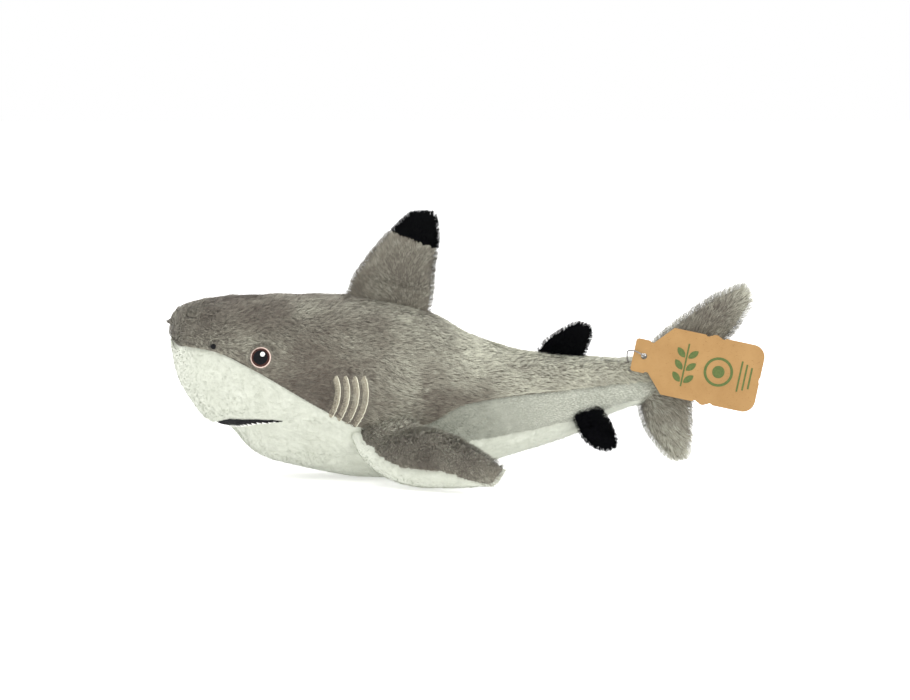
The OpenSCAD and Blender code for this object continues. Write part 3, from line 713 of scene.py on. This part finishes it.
def circle_on_skin(node):
    """Centre, outward direction and radius of a round piece of embroidery in the CAD."""
    p = cad_points(node)
    centre = (p.min(0) + p.max(0)) / 2
    spread = np.linalg.svd(p - p.mean(0))[2]
    out = spread[2] * np.sign(spread[2][1] * centre[1])
    return centre, out, np.linalg.norm(p - centre, axis=1).max()


def gill_lines(side):
    """Middle lines of the four gill bars, read from the CAD solids."""
    p = cad_points(SIDE_NAME[side] + "_gill_stitches")
    ob = frame["nodes"][SIDE_NAME[side] + "_gill_stitches"]
    group = np.full(len(p), -1)
    links = {}
    keys = {}
    for i, q in enumerate(np.round(p / 1e-5).astype(int)):
        keys.setdefault(tuple(q), []).append(i)
    for e in ob.data.edges:
        a, b = e.vertices
        links.setdefault(a, []).append(b)
        links.setdefault(b, []).append(a)
    for same in keys.values():
        for i in same[1:]:
            links.setdefault(i, []).append(same[0])
            links.setdefault(same[0], []).append(i)
    count = 0
    for i in range(len(p)):
        if group[i] < 0:
            stack = [i]
            while stack:
                k = stack.pop()
                if group[k] < 0:
                    group[k] = count
                    stack += links.get(k, [])
            count += 1
    lines = []
    for g in range(count):
        q = p[group == g]
        z = q[:, 2]
        levels = np.linspace(z.max(), z.min(), 22)
        band = (z.max() - z.min()) / 10
        weight = np.exp(-(((levels[:, None] - z[None]) / band) ** 2))
        fit = [np.polyfit(z, q[:, k], 3) for k in (0, 1)]
        lines.append(np.stack([np.polyval(fit[0], levels), np.polyval(fit[1], levels), levels], 1))
    return sorted(lines, key=lambda line: line[0, 0])


EYE = {side: circle_on_skin(SIDE_NAME[side] + "_eye_rim") for side in (LEFT, RIGHT)}
NOSTRIL = {side: circle_on_skin(SIDE_NAME[side] + "_nostril") for side in (LEFT, RIGHT)}
GILLS = {side: gill_lines(side) for side in (LEFT, RIGHT)}
clear_points = []
for side in (LEFT, RIGHT):
    centre, out, size = EYE[side]
    clear_points.append([*centre, size - 0.1 * MM])
    centre, out, size = NOSTRIL[side]
    clear_points.append([*centre, size + 0.2 * MM])
    for line in GILLS[side]:
        clear_points += [[*p, 2.2 * MM] for p in line]
clear_points = np.array(clear_points)

mouth_s = mouth_front + (mouth_corner - mouth_front) * np.linspace(0, 1, 60) ** 2
mouth_half = skin_point(mouth_s, seam_turn(mouth_s))
mouth_line = np.concatenate([mouth_half[:0:-1] * [1, -1, 1], mouth_half])
# The mouth is widest a little behind its front, and its lower edge is bitten by the teeth
at, length, mouth_at = resampled(mouth_line, 0.27 * MM)
way = unit(np.gradient(mouth_at, axis=0))
mouth_outs = np.cross(way, [0, 0, 1.0])
mouth_outs *= np.sign((mouth_outs * (mouth_at - [mouth_at[:, 0].max(), 0, 0])).sum(1))[:, None]
mouth_outs = unit(mouth_outs * [1, 1, 0] - [0, 0, 0.25])
up = unit(np.cross(mouth_outs, way))
up *= np.sign(up[:, 2:3] + 1e-9)
share = np.abs(at / length - 0.5) * 2
half = np.interp(share, [0, 0.25, 0.45, 0.7, 0.85, 1], [1.2, 2.6, 3.3, 2.2, 1.3, 0.6]) * MM
half *= np.where(share > 0.9, 0.5 + 0.5 * np.sqrt(np.clip((1 - share) / 0.1, 0, 1)), 1)
tooth = 1 - (np.abs(at - length / 2) / (4.2 * MM)) % 1
bite = tooth * np.minimum(0.9 * half, 1.9 * MM) * (share > 0.12)
mouth_at = mouth_at + up * (0.1 * half)[:, None]
mouth_room = (half - 0.5 * bite + 0.2 * MM)[:, None]
bare_points = np.vstack([clear_points, np.hstack([mouth_at, mouth_room])])


def faced_ahead(co, normals, tip):
    """The normals, straight ahead at the nose's tip, where the faces are too small to say."""
    near = smooth((9 * MM - np.linalg.norm(co - tip, axis=1)) / (6 * MM))[:, None]
    return unit(normals * (1 - near) + near * [-1, 0, 0])


def domed_nose(co, tip):
    """The points, with those at the nose's tip laid on one smooth dome."""
    y, z = co[:, 1], co[:, 2] - tip[2]
    off = np.hypot(y, z)
    ahead = co[:, 0] < nose_x + 8 * MM
    terms = np.stack([np.ones(len(co)), z, y**2, z**2], axis=1)
    ring = ahead & (off > 4 * MM) & (off < 9 * MM)
    fit = np.linalg.lstsq(terms[ring], co[ring, 0], rcond=None)[0]
    weight = np.where(ahead, smooth((8 * MM - off) / (4 * MM)), 0)
    co = co.copy()
    co[:, 0] += weight * (terms @ fit - co[:, 0])
    return co


def trunk_skin():
    """Points, faces and labels of the whole stuffed skin from the nose into the tail fin."""
    co, quads, tris, label = trunk_grid()
    tip = co[tris[0, 2]]        # the pole of the nose
    normals = faced_ahead(co, point_normals(co, quads, tris), tip)
    co = co - normals * 0.6 * MM
    me = make_mesh("trunk_sheet", co, quads, tris)
    me.polygons.foreach_set("material_index", label.astype(np.int32))
    ob = make_object("trunk_sheet", me)
    held = label_edges(quads, label[: len(quads)])
    inflate(ob, held, 2.0 * MM)
    co, faces, label = subdivided(ob)
    normals = faced_ahead(co, point_normals(co, faces), tip)
    # In by the depth of each pile: labels from 5 are the long grey one
    deep = point_means(faces, np.where(label >= 5, 2.3 * MM, 0.9 * MM), len(co))
    far, which = nearest(co, clear_points[:, :3])
    raised = smooth(1 - (far - clear_points[which, 3]) / (3.5 * MM))
    deep = deep * (1 - raised) + 0.1 * MM * raised
    co = co - normals * deep[:, None]
    low = skin_point(stations, white_seam)
    low = low[(stations > mouth_corner) & ~np.isnan(low[:, 0])]
    high = skin_point(stations, grey_turn)[stations > 7 * MM]
    for line, amount, width in ((low, 1.0, 3.5), (high, 0.8, 3.5)):
        dense = np.concatenate([line[:-1] + f * (line[1:] - line[:-1]) for f in (0, 0.5)])
        for sign in (1, -1):
            co = line_pull(co, normals, dense * [1, sign, 1], amount * MM, width * MM, 0.9)
    top = skin_point(stations, np.full(len(stations), math.pi))
    co = line_pull(co, normals, top, 0.9 * MM, 4 * MM)
    # The lower jaw sits back under the upper one
    far, which = nearest(co, mouth_line)
    inward = np.minimum(which, len(mouth_line) - 1 - which) / 12
    below = mouth_line[which, 2] - co[:, 2]
    lower = smooth(0.5 + below / (2.5 * MM)) * np.exp(-((far / (9 * MM)) ** 2))
    upper = (1 - smooth(0.5 + below / (2.5 * MM))) * np.exp(-(((far - 3 * MM) / (3 * MM)) ** 2))
    fade = smooth(inward)
    co = co - normals * ((1.2 * MM * lower - 0.4 * MM * upper) * fade)[:, None]
    co = domed_nose(co, tip)
    co[:, 2] = np.maximum(co[:, 2], 0.5 * MM)
    return co, faces, label


trunk_co, trunk_faces, trunk_label = trunk_skin()
trunk_normals = point_normals(trunk_co, trunk_faces)
trunk_skin_tree = BVHTree.FromPolygons(
    [Vector(p) for p in trunk_co], [list(map(int, f)) for f in trunk_faces]
)
JOINT = {j["name"]: j for j in frame["joints"]}


def add_skin(name, kind, co, faces, normals, nodes, brush, move, scale=1.0, clear=None, spared=None,
             shade=0.0, lean=None):
    """A fabric panel and its pile, as two pieces that move alike."""
    me = make_mesh("skin_" + name, co, faces)
    me.normals_split_custom_set_from_vertices(normals.tolist())
    skin = make_object("skin_" + name, me, SKIN[kind])
    pile = grow_pile("pile_" + name, kind, co, faces, normals, brush, clear, spared, scale, shade,
                     lean)
    for ob in (skin, pile):
        move(ob)
    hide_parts(*nodes)


def with_tail(ob):
    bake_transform(ob)


def trunk_tone_and_painted_light(p):
    """The pile is darker on the snout and paler towards the tail, on its top only: painted light
    from above on the rear back.
    """
    along = (p[:, 0] - nose_x) / trunk_span
    return -0.06 + 0.64 * smooth((along - 0.38) / 0.5) * smooth((p[:, 2] - 0.03) / 0.06)


def flank_painted_light(p):
    # Painted shade at the front of the flanks, which face the lamps, and painted light towards the
    # rear
    return 0.87 * smooth((p[:, 0] + 0.03) / 0.11) - 0.45


KIND = ["white", "white", "white", "flank", "flank", "grey", "grey"]
# The grey and flank piles get painted light and shade by place
TRUNK_SHADE = {"white": 0.0, "flank": flank_painted_light, "grey": trunk_tone_and_painted_light}
for k, name in enumerate(TRUNK_LABELS):
    chosen = trunk_label == k
    co, faces, used = part_of(trunk_co, trunk_faces, chosen)
    nodes = [name + "_panel"]
    if name == "belly":
        nodes += ["trunk_filling", "tail_root_filling"]
    elif name.startswith("back_"):
        nodes.append("tail_root_" + name.removeprefix("back_") + "_panel")
    hidden = lambda p: p[:, 0] > tail_root_end + 8 * MM
    add_skin(name, KIND[k], co, faces, trunk_normals[used], nodes, tailward, with_tail,
             clear=bare_points, spared=hidden, shade=TRUNK_SHADE[KIND[k]])

# ---------- fins ----------

# In millimetres, how far a fin's fabric lies under the tips of its pile
PILE_DEPTH = {"grey": 2.2, "white": 0.9, "black": 2.0, "flank": 0.9}
# How far the black of the back fin's tip reaches below its CAD node, as the photo shows
BLACK_DROP = 3.2 * MM
# How far out from the middle plane a side fin's white lip ends, and the length it fades over
LIP_END, LIP_FADE = 0.108, 0.016


def remeshed(nodes, voxel):
    """One even closed skin round some CAD nodes, of the points and four-cornered faces."""
    verts, corners, sizes, first = [], [], [], 0
    for name in nodes:
        me = frame["nodes"][name].data
        verts.append(cad_points(name))
        corners += [first + i for p in me.polygons for i in p.vertices]
        sizes += [len(p.vertices) for p in me.polygons]
        first += len(me.vertices)
    corners = np.array(corners)
    assert set(sizes) == {3}
    me = make_mesh("fin_sheet", np.concatenate(verts), corners.reshape(-1, 3))
    ob = make_object("fin_sheet", me)
    weld = ob.modifiers.new("Weld", "WELD")
    weld.merge_threshold = 0.02 * MM
    remesh = ob.modifiers.new("Remesh", "REMESH")
    remesh.mode = "VOXEL"
    remesh.voxel_size = voxel
    co, quads, _ = evaluated(ob)
    bpy.data.objects.remove(ob)
    # Only the outer skin: the largest connected piece
    group = np.arange(len(co))
    while True:
        low = group[quads].min(1)
        new = group.copy()
        for k in range(4):
            np.minimum.at(new, quads[:, k], low)
        new = new[new]
        if (new == group).all():
            break
        group = new
    names, often = np.unique(group[quads[:, 0]], return_counts=True)
    co, quads, _ = part_of(co, quads, group[quads[:, 0]] == names[often.argmax()])
    return co, quads


def relaxed(co, quads, rounds):
    """Points drawn towards the middle of their neighbours, to take out the voxels' steps."""
    for _ in range(rounds):
        total, often = np.zeros_like(co), np.zeros(len(co))
        for k in range(4):
            for other in (quads[:, (k + 1) % 4], quads[:, (k + 3) % 4]):
                np.add.at(total, quads[:, k], co[other])
                np.add.at(often, quads[:, k], 1)
        co = 0.4 * co + 0.6 * total / often[:, None]
    return co


def straightened(co, quads, label):
    """Evens out the steps of the lines where the labels change."""
    a = quads.ravel()
    b = np.roll(quads, -1, axis=1).ravel()
    owner = np.repeat(label, 4)
    key = np.minimum(a, b) * (quads.max() + 1) + np.maximum(a, b)
    order = np.argsort(key, kind="stable")
    same = key[order][1:] == key[order][:-1]
    pairs = order[:-1][same], order[1:][same]
    line = owner[pairs[0]] != owner[pairs[1]]
    ends = np.stack([a[pairs[0]][line], b[pairs[0]][line]], axis=1)
    for _ in range(5):
        total, often = np.zeros_like(co), np.zeros(len(co))
        for k in (0, 1):
            np.add.at(total, ends[:, k], co[ends[:, 1 - k]])
            np.add.at(often, ends[:, k], 1)
        on = often > 1
        co[on] = 0.5 * co[on] + 0.5 * total[on] / often[on][:, None]
    return co


def fin_frame(joint):
    """The middle of a fin's hinge and the hinge's direction."""
    j = JOINT[joint]
    return np.array(j["pos_m"]), unit(np.array(j["axis"], float))


def make_fin(body, nodes, kinds, brush, joint=None, voxel=2.0, root_pull=2.0, thin=0.2, shade=0.0,
             scale=1.0, lip=0.0, lean=44):
    """A stuffed fin: nodes gives the CAD nodes, and kinds the labels, each a name, a pile and
    the CAD nodes whose fabric it is."""
    co, quads = remeshed(nodes, voxel * MM)
    co = relaxed(co, quads, 2)
    trees = [cad_surface(owned)[0] for _, _, owned in kinds]
    middle = co[quads].mean(1)
    away = np.array([[tree.find_nearest(p)[3] for tree in trees] for p in middle])
    away -= np.array([BLACK_DROP if owned[0] == "back_fin_tip" else 0 for _, _, owned in kinds])
    label = away.argmin(1)
    if lip:
        # The underside's fabric comes up round the leading edge, which is the low one
        line = co[label_edges(quads, label)]
        far, which = nearest(middle, line)
        across = np.abs(line[:, 1])
        near = [line[np.abs(across - a) < 4 * MM, 2] for a in across]
        low = line[:, 2] < np.array([0.55 * z.min() + 0.45 * z.max() for z in near])
        reach = lip * smooth((LIP_END - np.abs(middle[:, 1])) / LIP_FADE)
        label = np.where((far < reach) & low[which], 1, label)
    co = straightened(co, quads, label)
    held = label_edges(quads, label) if len(kinds) > 1 else []
    me = make_mesh("fin_cloth", co, quads)
    me.polygons.foreach_set("material_index", label.astype(np.int32))
    ob = make_object("fin_cloth", me)
    inflate(ob, held, 1.2 * MM)
    co, quads, label = subdivided(ob)
    normals = point_normals(co, quads)
    seam = co[label_edges(quads, label)] if len(kinds) > 1 else None
    other = np.array([k[1] != "grey" for k in kinds])
    edge = label_edges(quads, other[label].astype(int)) if other.any() and not other.all() else None
    depth = np.array([PILE_DEPTH[k[1]] for k in kinds]) * MM
    co = co - normals * point_means(quads, depth[label] * thin, len(co))[:, None]
    if seam is not None:
        co = line_pull(co, normals, seam, 0.5 * MM, 2.5 * MM, 0.8)
    if joint:
        at, axis = fin_frame(joint)
        out = co.mean(0) - at
        out = unit(out - axis * (out @ axis))
        mid = at + axis * ((co.mean(0) - at) @ axis)
        h = (co - mid) @ out
        co = co - np.outer(root_pull * np.maximum(3.5 * MM - h, 0), out)
        move = lambda piece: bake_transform(piece)
        buried = lambda p: np.array([inside_trunk(q) for q in p], bool)
    else:
        move = lambda piece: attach(piece, body)
        buried = None
    co[:, 2] = np.maximum(co[:, 2], 0.6 * MM)
    normals = point_normals(co, quads)
    for k, (part, kind, owned) in enumerate(kinds):
        own, faces, used = part_of(co, quads, label == k)
        if k == 0:
            owned = owned + [n for n in nodes if n.endswith("filling")]
        near = co[edge] if edge is not None and kind == "grey" and not lip else None
        if near is not None:
            near = np.hstack([near, np.full((len(near), 1), -0.5 * MM)])
        add_skin(part, kind, own, faces, normals[used], owned, brush, move, scale, near, buried,
                 shade, None if kind in ("white", "black") else lean)


def inside_trunk(p):
    """True for a point more than 1 mm under the trunk's skin."""
    hit = trunk_skin_tree.find_nearest(Vector(p), 0.03)
    if hit[0] is None:
        return False
    return (Vector(p) - hit[0]).dot(hit[1]) < -1 * MM


def constant(way):
    return lambda p: np.tile(np.array(way, float), (len(p), 1))


def fanned(x, z):
    """Brushed away from a point low in the middle plane."""
    return lambda p: np.stack([p[:, 0] - x, 0 * p[:, 1], p[:, 2] - z], axis=1)


for side in (LEFT, RIGHT):
    s = SIDE_NAME[side]
    make_fin(
        s + "_side_fin",
        [s + "_fin_top", s + "_fin_underside", s + "_fin_filling"],
        [(f"side_fin_top_{s}", "grey", [s + "_fin_top"]),
         (f"side_fin_underside_{s}", "white", [s + "_fin_underside"])],
        constant((0.9, 0.7 * side, -0.25)), s + "_side_fin_flap", shade=-0.03, lip=11 * MM, lean=50,
        scale=0.85)
make_fin(
    "back_fin",
    ["back_fin_left_side", "back_fin_right_side", "back_fin_tip", "back_fin_filling"],
    [("back_fin_left", "grey", ["back_fin_left_side"]),
     ("back_fin_right", "grey", ["back_fin_right_side"]),
     ("back_fin_tip", "black", ["back_fin_tip"])],
    fanned(-0.045, 0.09), "back_fin_flex", scale=0.85)
make_fin("second_back_fin", ["second_back_fin"],
         [("second_back_fin", "black", ["second_back_fin"])], constant((0.8, 0, 0.6)),
         "second_back_fin_flex", voxel=1.4, thin=0.1, root_pull=1.4, scale=0.85)
for side in (LEFT, RIGHT):
    s = SIDE_NAME[side]
    make_fin(s + "_rear_fin", [s + "_rear_fin"],
             [("rear_fin_" + s, "black", [s + "_rear_fin"])], constant((0.8, 0, -0.7)),
             s + "_rear_fin_flex", voxel=1.4, thin=0.1, root_pull=1.2, scale=0.85)


def tail_brush(p):
    way = np.zeros_like(p)
    way[:, 0] = 0.7
    way[:, 2] = np.clip((p[:, 2] - 0.058) / 0.02, -1, 1)
    return way


make_fin("tail", ["tail_fin_left_side", "tail_fin_right_side", "tail_fin_filling"],
         [("tail_fin_left", "grey", ["tail_fin_left_side"]),
          ("tail_fin_right", "grey", ["tail_fin_right_side"])], tail_brush, shade=0.19)

# ---------- embroidery ----------


def on_skin(points, outs, lift=0.0):
    """The points moved onto the trunk's skin along their outward directions."""
    made = []
    for p, out in zip(points, outs):
        hit = trunk_skin_tree.ray_cast(Vector(p + out * 0.012), Vector(-out), 0.024)
        made.append(np.array(hit[0]) + out * lift if hit[0] is not None else p)
    return np.array(made)


def stitches(name, starts, ends, outs, width, height, thread, body, nodes=(), across=7):
    """Threads laid side by side, each an arch of half-round section from a start to an end."""
    starts, ends, outs = (np.asarray(v, float) for v in (starts, ends, outs))
    n = len(starts)
    along = unit(ends - starts)
    aside = unit(np.cross(along, outs))
    outs = unit(np.cross(aside, along))
    rise = np.broadcast_to(np.asarray(height, float), (n,))
    half = width * rng.uniform(0.9, 1.1, n) / 2
    w = np.linspace(0, 1, across)
    arch = np.sin(np.pi * np.clip(w, 0.03, 0.97)) ** 0.55
    turn = np.radians([0, 50, 90, 130, 180])
    verts = (
        starts[:, None, None] + (ends - starts)[:, None, None] * w[None, :, None, None]
        + outs[:, None, None] * (rise[:, None] * arch[None])[:, :, None, None]
        + aside[:, None, None] * (half[:, None, None] * np.cos(turn))[..., None]
        + outs[:, None, None] * (half[:, None, None] * 0.9 * np.sin(turn))[..., None]
    )
    first = (np.arange(n) * across * 5)[:, None, None]
    i = (np.arange(across - 1) * 5)[None, :, None]
    j = np.arange(4)[None, None, :]
    a = (first + i + j).ravel()
    faces = np.stack([a, a + 1, a + 6, a + 5], axis=1)
    ob = make_object(name, make_mesh(name, verts.reshape(-1, 3), faces), THREAD[thread])
    if body == "trunk":
        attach(ob, body)
    if nodes:
        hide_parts(*nodes)
    return ob


def disc_axes(out):
    """Two directions across a disc that faces out: tailward and upwards."""
    up = unit(np.array([0, 0, 1.0]) - out * out[2])
    back = unit(np.cross(up, out))
    return back * np.sign(back[0]), up


def radial(centre, out, low, high, step):
    """Starts and ends of threads that run outwards across a ring."""
    back, up = disc_axes(out)
    angles = np.arange(0, 2 * math.pi, step / high)
    rays = np.outer(np.cos(angles), back) + np.outer(np.sin(angles), up)
    return centre + rays * low, centre + rays * high


def filled(centre, out, size, step, tilt=0.0):
    """Starts and ends of threads side by side across a disc."""
    back, up = disc_axes(out)
    a = back * math.cos(tilt) + up * math.sin(tilt)
    b = np.cross(out, a)
    offsets = np.arange(-size + step / 2, size, step)
    reach = np.sqrt(size**2 - offsets**2)
    base = centre + np.outer(offsets, a)
    return base - np.outer(reach, b), base + np.outer(reach, b)


def satin(name, starts, ends, out, height, thread, slot, node, width=0.36 * MM, lift=0.0):
    outs = np.tile(out, (len(starts), 1))
    starts, ends = on_skin(starts, outs, lift), on_skin(ends, outs, lift)
    return stitches(name, starts, ends, outs, width, height, thread, "trunk", [node])


for side in (LEFT, RIGHT):
    s = SIDE_NAME[side]
    centre, out, size = EYE[side]
    iris = circle_on_skin(s + "_eye_iris")[2]
    pupil = circle_on_skin(s + "_eye_pupil")[2]
    step = 0.27 * MM
    satin(f"eye_rim_{s}", *radial(centre, out, iris - 0.1 * MM, size - 0.15 * MM, step), out,
          0.30 * MM, "pink", "pink_thread", s + "_eye_rim")
    satin(f"eye_iris_{s}", *radial(centre, out, pupil - 0.2 * MM, iris + 0.05 * MM, step), out,
          0.42 * MM, "brown", "brown_thread", s + "_eye_iris")
    satin(f"eye_pupil_{s}", *filled(centre, out, pupil, step, 0.3), out,
          0.75 * MM, "black", "black_thread", s + "_eye_pupil", lift=0.1 * MM)
    centre, out, size = circle_on_skin(s + "_eye_glint")
    satin(f"eye_glint_{s}", *filled(centre, EYE[side][1], size * 0.85, step, 0.9), EYE[side][1],
          0.25 * MM, "white", "white_thread", s + "_eye_glint", lift=1.0 * MM)
    centre, out, size = NOSTRIL[side]
    satin(f"nostril_{s}", *filled(centre, out, size * 1.05, step), out,
          0.7 * MM, "black", "black_thread", s + "_nostril", lift=0.9 * MM)
    starts, ends, outs, soft_starts, soft_ends = [], [], [], [], []
    for line in GILLS[side]:
        at, length, p = resampled(line, 0.30 * MM)
        way = unit(np.gradient(p, axis=0))
        far = np.array([list(trunk_skin_tree.find_nearest(Vector(q))[1]) for q in p])
        outward = unit(far)
        aside = unit(np.cross(way, outward))
        aside *= np.sign(aside[:, :1])
        taper = np.sqrt(np.clip(np.minimum(at, length - at) / (2 * MM), 0.1, 1))[:, None]
        starts.append(p + aside * 0.9 * MM)
        ends.append(p + aside * (0.9 + 0.6 * taper) * MM)
        soft_starts.append(p - aside * 2.3 * taper * MM)
        soft_ends.append(p + aside * 1.0 * MM)
        outs.append(outward)
    starts, ends, outs = np.concatenate(starts), np.concatenate(ends), np.concatenate(outs)
    soft_starts, soft_ends = np.concatenate(soft_starts), np.concatenate(soft_ends)
    a, b = on_skin(starts, outs, 0.5 * MM), on_skin(ends, outs, 0.5 * MM)
    stitches(f"gill_edges_{s}", a, b, outs, 0.36 * MM, 0.6 * MM, "cream", "trunk",
             [s + "_gill_stitches"])
    a, b = on_skin(soft_starts, outs, 0.25 * MM), on_skin(soft_ends, outs, 0.4 * MM)
    stitches(f"gill_bands_{s}", a, b, outs, 0.36 * MM, 0.25 * MM, "beige", "trunk")

# The mouth: a black bar of thread, with small teeth left white below it
top, low = mouth_at + up * half[:, None], mouth_at - up * (half - bite)[:, None]
a, b = on_skin(top, mouth_outs, 0.35 * MM), on_skin(low, mouth_outs, 0.35 * MM)
stitches("mouth_threads", a, b, mouth_outs, 0.40 * MM, 0.45 * MM, "black", "trunk",
         ["mouth_embroidery"])
some = bite > 0.5 * MM
outs = mouth_outs[some]
a = on_skin((mouth_at - up * (half - bite + 0.1 * MM)[:, None])[some], outs, 0.2 * MM)
b = on_skin((mouth_at - up * (half + 0.2 * MM)[:, None])[some], outs, 0.2 * MM)
stitches("teeth_threads", a, b, outs, 0.38 * MM, 0.35 * MM, "white", "trunk",
         ["teeth_embroidery"])

# ---------- hang tag ----------


def card_material():
    """Brown recycled card: soft blotches, dark and pale flecks, and a slight tooth."""
    mat, tree, shader = new_material("kraft_card")
    base = ramp_node(tree, noise_node(tree, 45, 5, 0.6), [(0.25, (0.31, 0.175, 0.066)),
                                                          (0.75, (0.39, 0.235, 0.095))])
    flecks = noise_node(tree, 1100, 2, 0.5, stretch=(0.7, 1, 1.1))
    dark = ramp_node(tree, flecks, [(0.24, (0.6, 0.55, 0.48)), (0.36, (1, 1, 1)), (0.66, (1, 1, 1)),
                                    (0.78, (1.2, 1.18, 1.12))])
    tree.links.new(mixed(tree, base, dark, 0.6), shader.inputs["Base Color"])
    bump(tree, shader, noise_node(tree, 1500, 4), 0.25, 0.15 * MM)
    set_inputs(shader, {"Roughness": 0.85, "Specular IOR Level": 0.25})
    return mat


def print_material():
    mat, tree, shader = new_material("print_ink")
    tones = ramp_node(tree, noise_node(tree, 700, 3), [(0.3, (0.055, 0.088, 0.014)),
                                                       (0.7, (0.09, 0.128, 0.026))])
    tree.links.new(tones, shader.inputs["Base Color"])
    shader.inputs["Roughness"].default_value = 0.7
    return mat


def nylon_material():
    mat, tree, shader = new_material("nylon")
    tones = ramp_node(tree, noise_node(tree, 1200, 2), [(0.3, (0.12, 0.115, 0.105)),
                                                        (0.7, (0.26, 0.25, 0.235))])
    tree.links.new(tones, shader.inputs["Base Color"])
    set_inputs(shader, {"Roughness": 0.35, "Specular IOR Level": 0.4})
    return mat


for node, mat in (("hang_tag", card_material()), ("tag_print", print_material()),
                  ("tag_loop", nylon_material())):
    me = frame["nodes"][node].data
    me.materials.clear()
    me.materials.append(mat)


# ---------- floor, light and camera ----------


def stage_set():
    corners = [(-9, -9, 0), (9, -9, 0), (9, 9, 0), (-9, 9, 0)]
    me = make_mesh("floor", corners, np.array([[0, 1, 2, 3]]))
    mat, tree, shader = new_material("floor")
    tone = ramp_node(tree, noise_node(tree, 3, 2), [(0.0, (0.90,) * 3), (1.0, (0.93,) * 3)])
    tree.links.new(tone, shader.inputs["Base Color"])
    set_inputs(shader, {"Roughness": 0.9, "Emission Color": (1, 1, 1, 1),
                        "Emission Strength": 0.42})
    floor = make_object("floor", me, mat)
    world = bpy.data.worlds.new("studio")
    bpy.context.scene.world = world
    world.use_nodes = True
    sky = world.node_tree.nodes["Background"]
    sky.inputs["Color"].default_value = (1, 1, 1, 1)
    sky.inputs["Strength"].default_value = 1.0
    sun = bpy.data.lights.new("ceiling", "SUN")
    sun.energy = 0.8
    sun.angle = math.radians(120)
    make_object("ceiling", sun)
    for place, size, power in (((-0.9, -1.3, 1.5), 1.4, 6.5), ((0.9, -1.0, 1.2), 1.2, 6),
                               ((0.1, 1.1, 1.4), 1.2, 7), ((0.5, -1.6, 0.3), 1.2, 3)):
        light = bpy.data.lights.new("softbox", "AREA")
        light.size = size
        light.energy = power
        lamp = make_object("softbox", light)
        lamp.location = place
        lamp.rotation_mode = "QUATERNION"
        lamp.rotation_quaternion = (Vector((0, 0, 0.06)) - Vector(place)).to_track_quat("-Z", "Y")
    bpy.context.scene.view_settings.view_transform = "Standard"


def camera():
    data = bpy.data.cameras.new("camera")
    cam = make_object("camera", data)
    bpy.context.scene.camera = cam
    data.sensor_width = 36
    distance, width = 2.4, 0.5915
    data.lens = 36 * distance / width
    data.clip_end = 30
    up = math.radians(5)
    low, high = cad_box
    # The aim puts the shark where it stands in the photo
    aim = Vector(((low.x + high.x) / 2 - 0.0065, 0, 0.0826))
    cam.location = aim + distance * Vector((0, -math.cos(up), math.sin(up)))
    cam.rotation_mode = "QUATERNION"
    cam.rotation_quaternion = (aim - cam.location).to_track_quat("-Z", "Y")


stage_set()
camera()
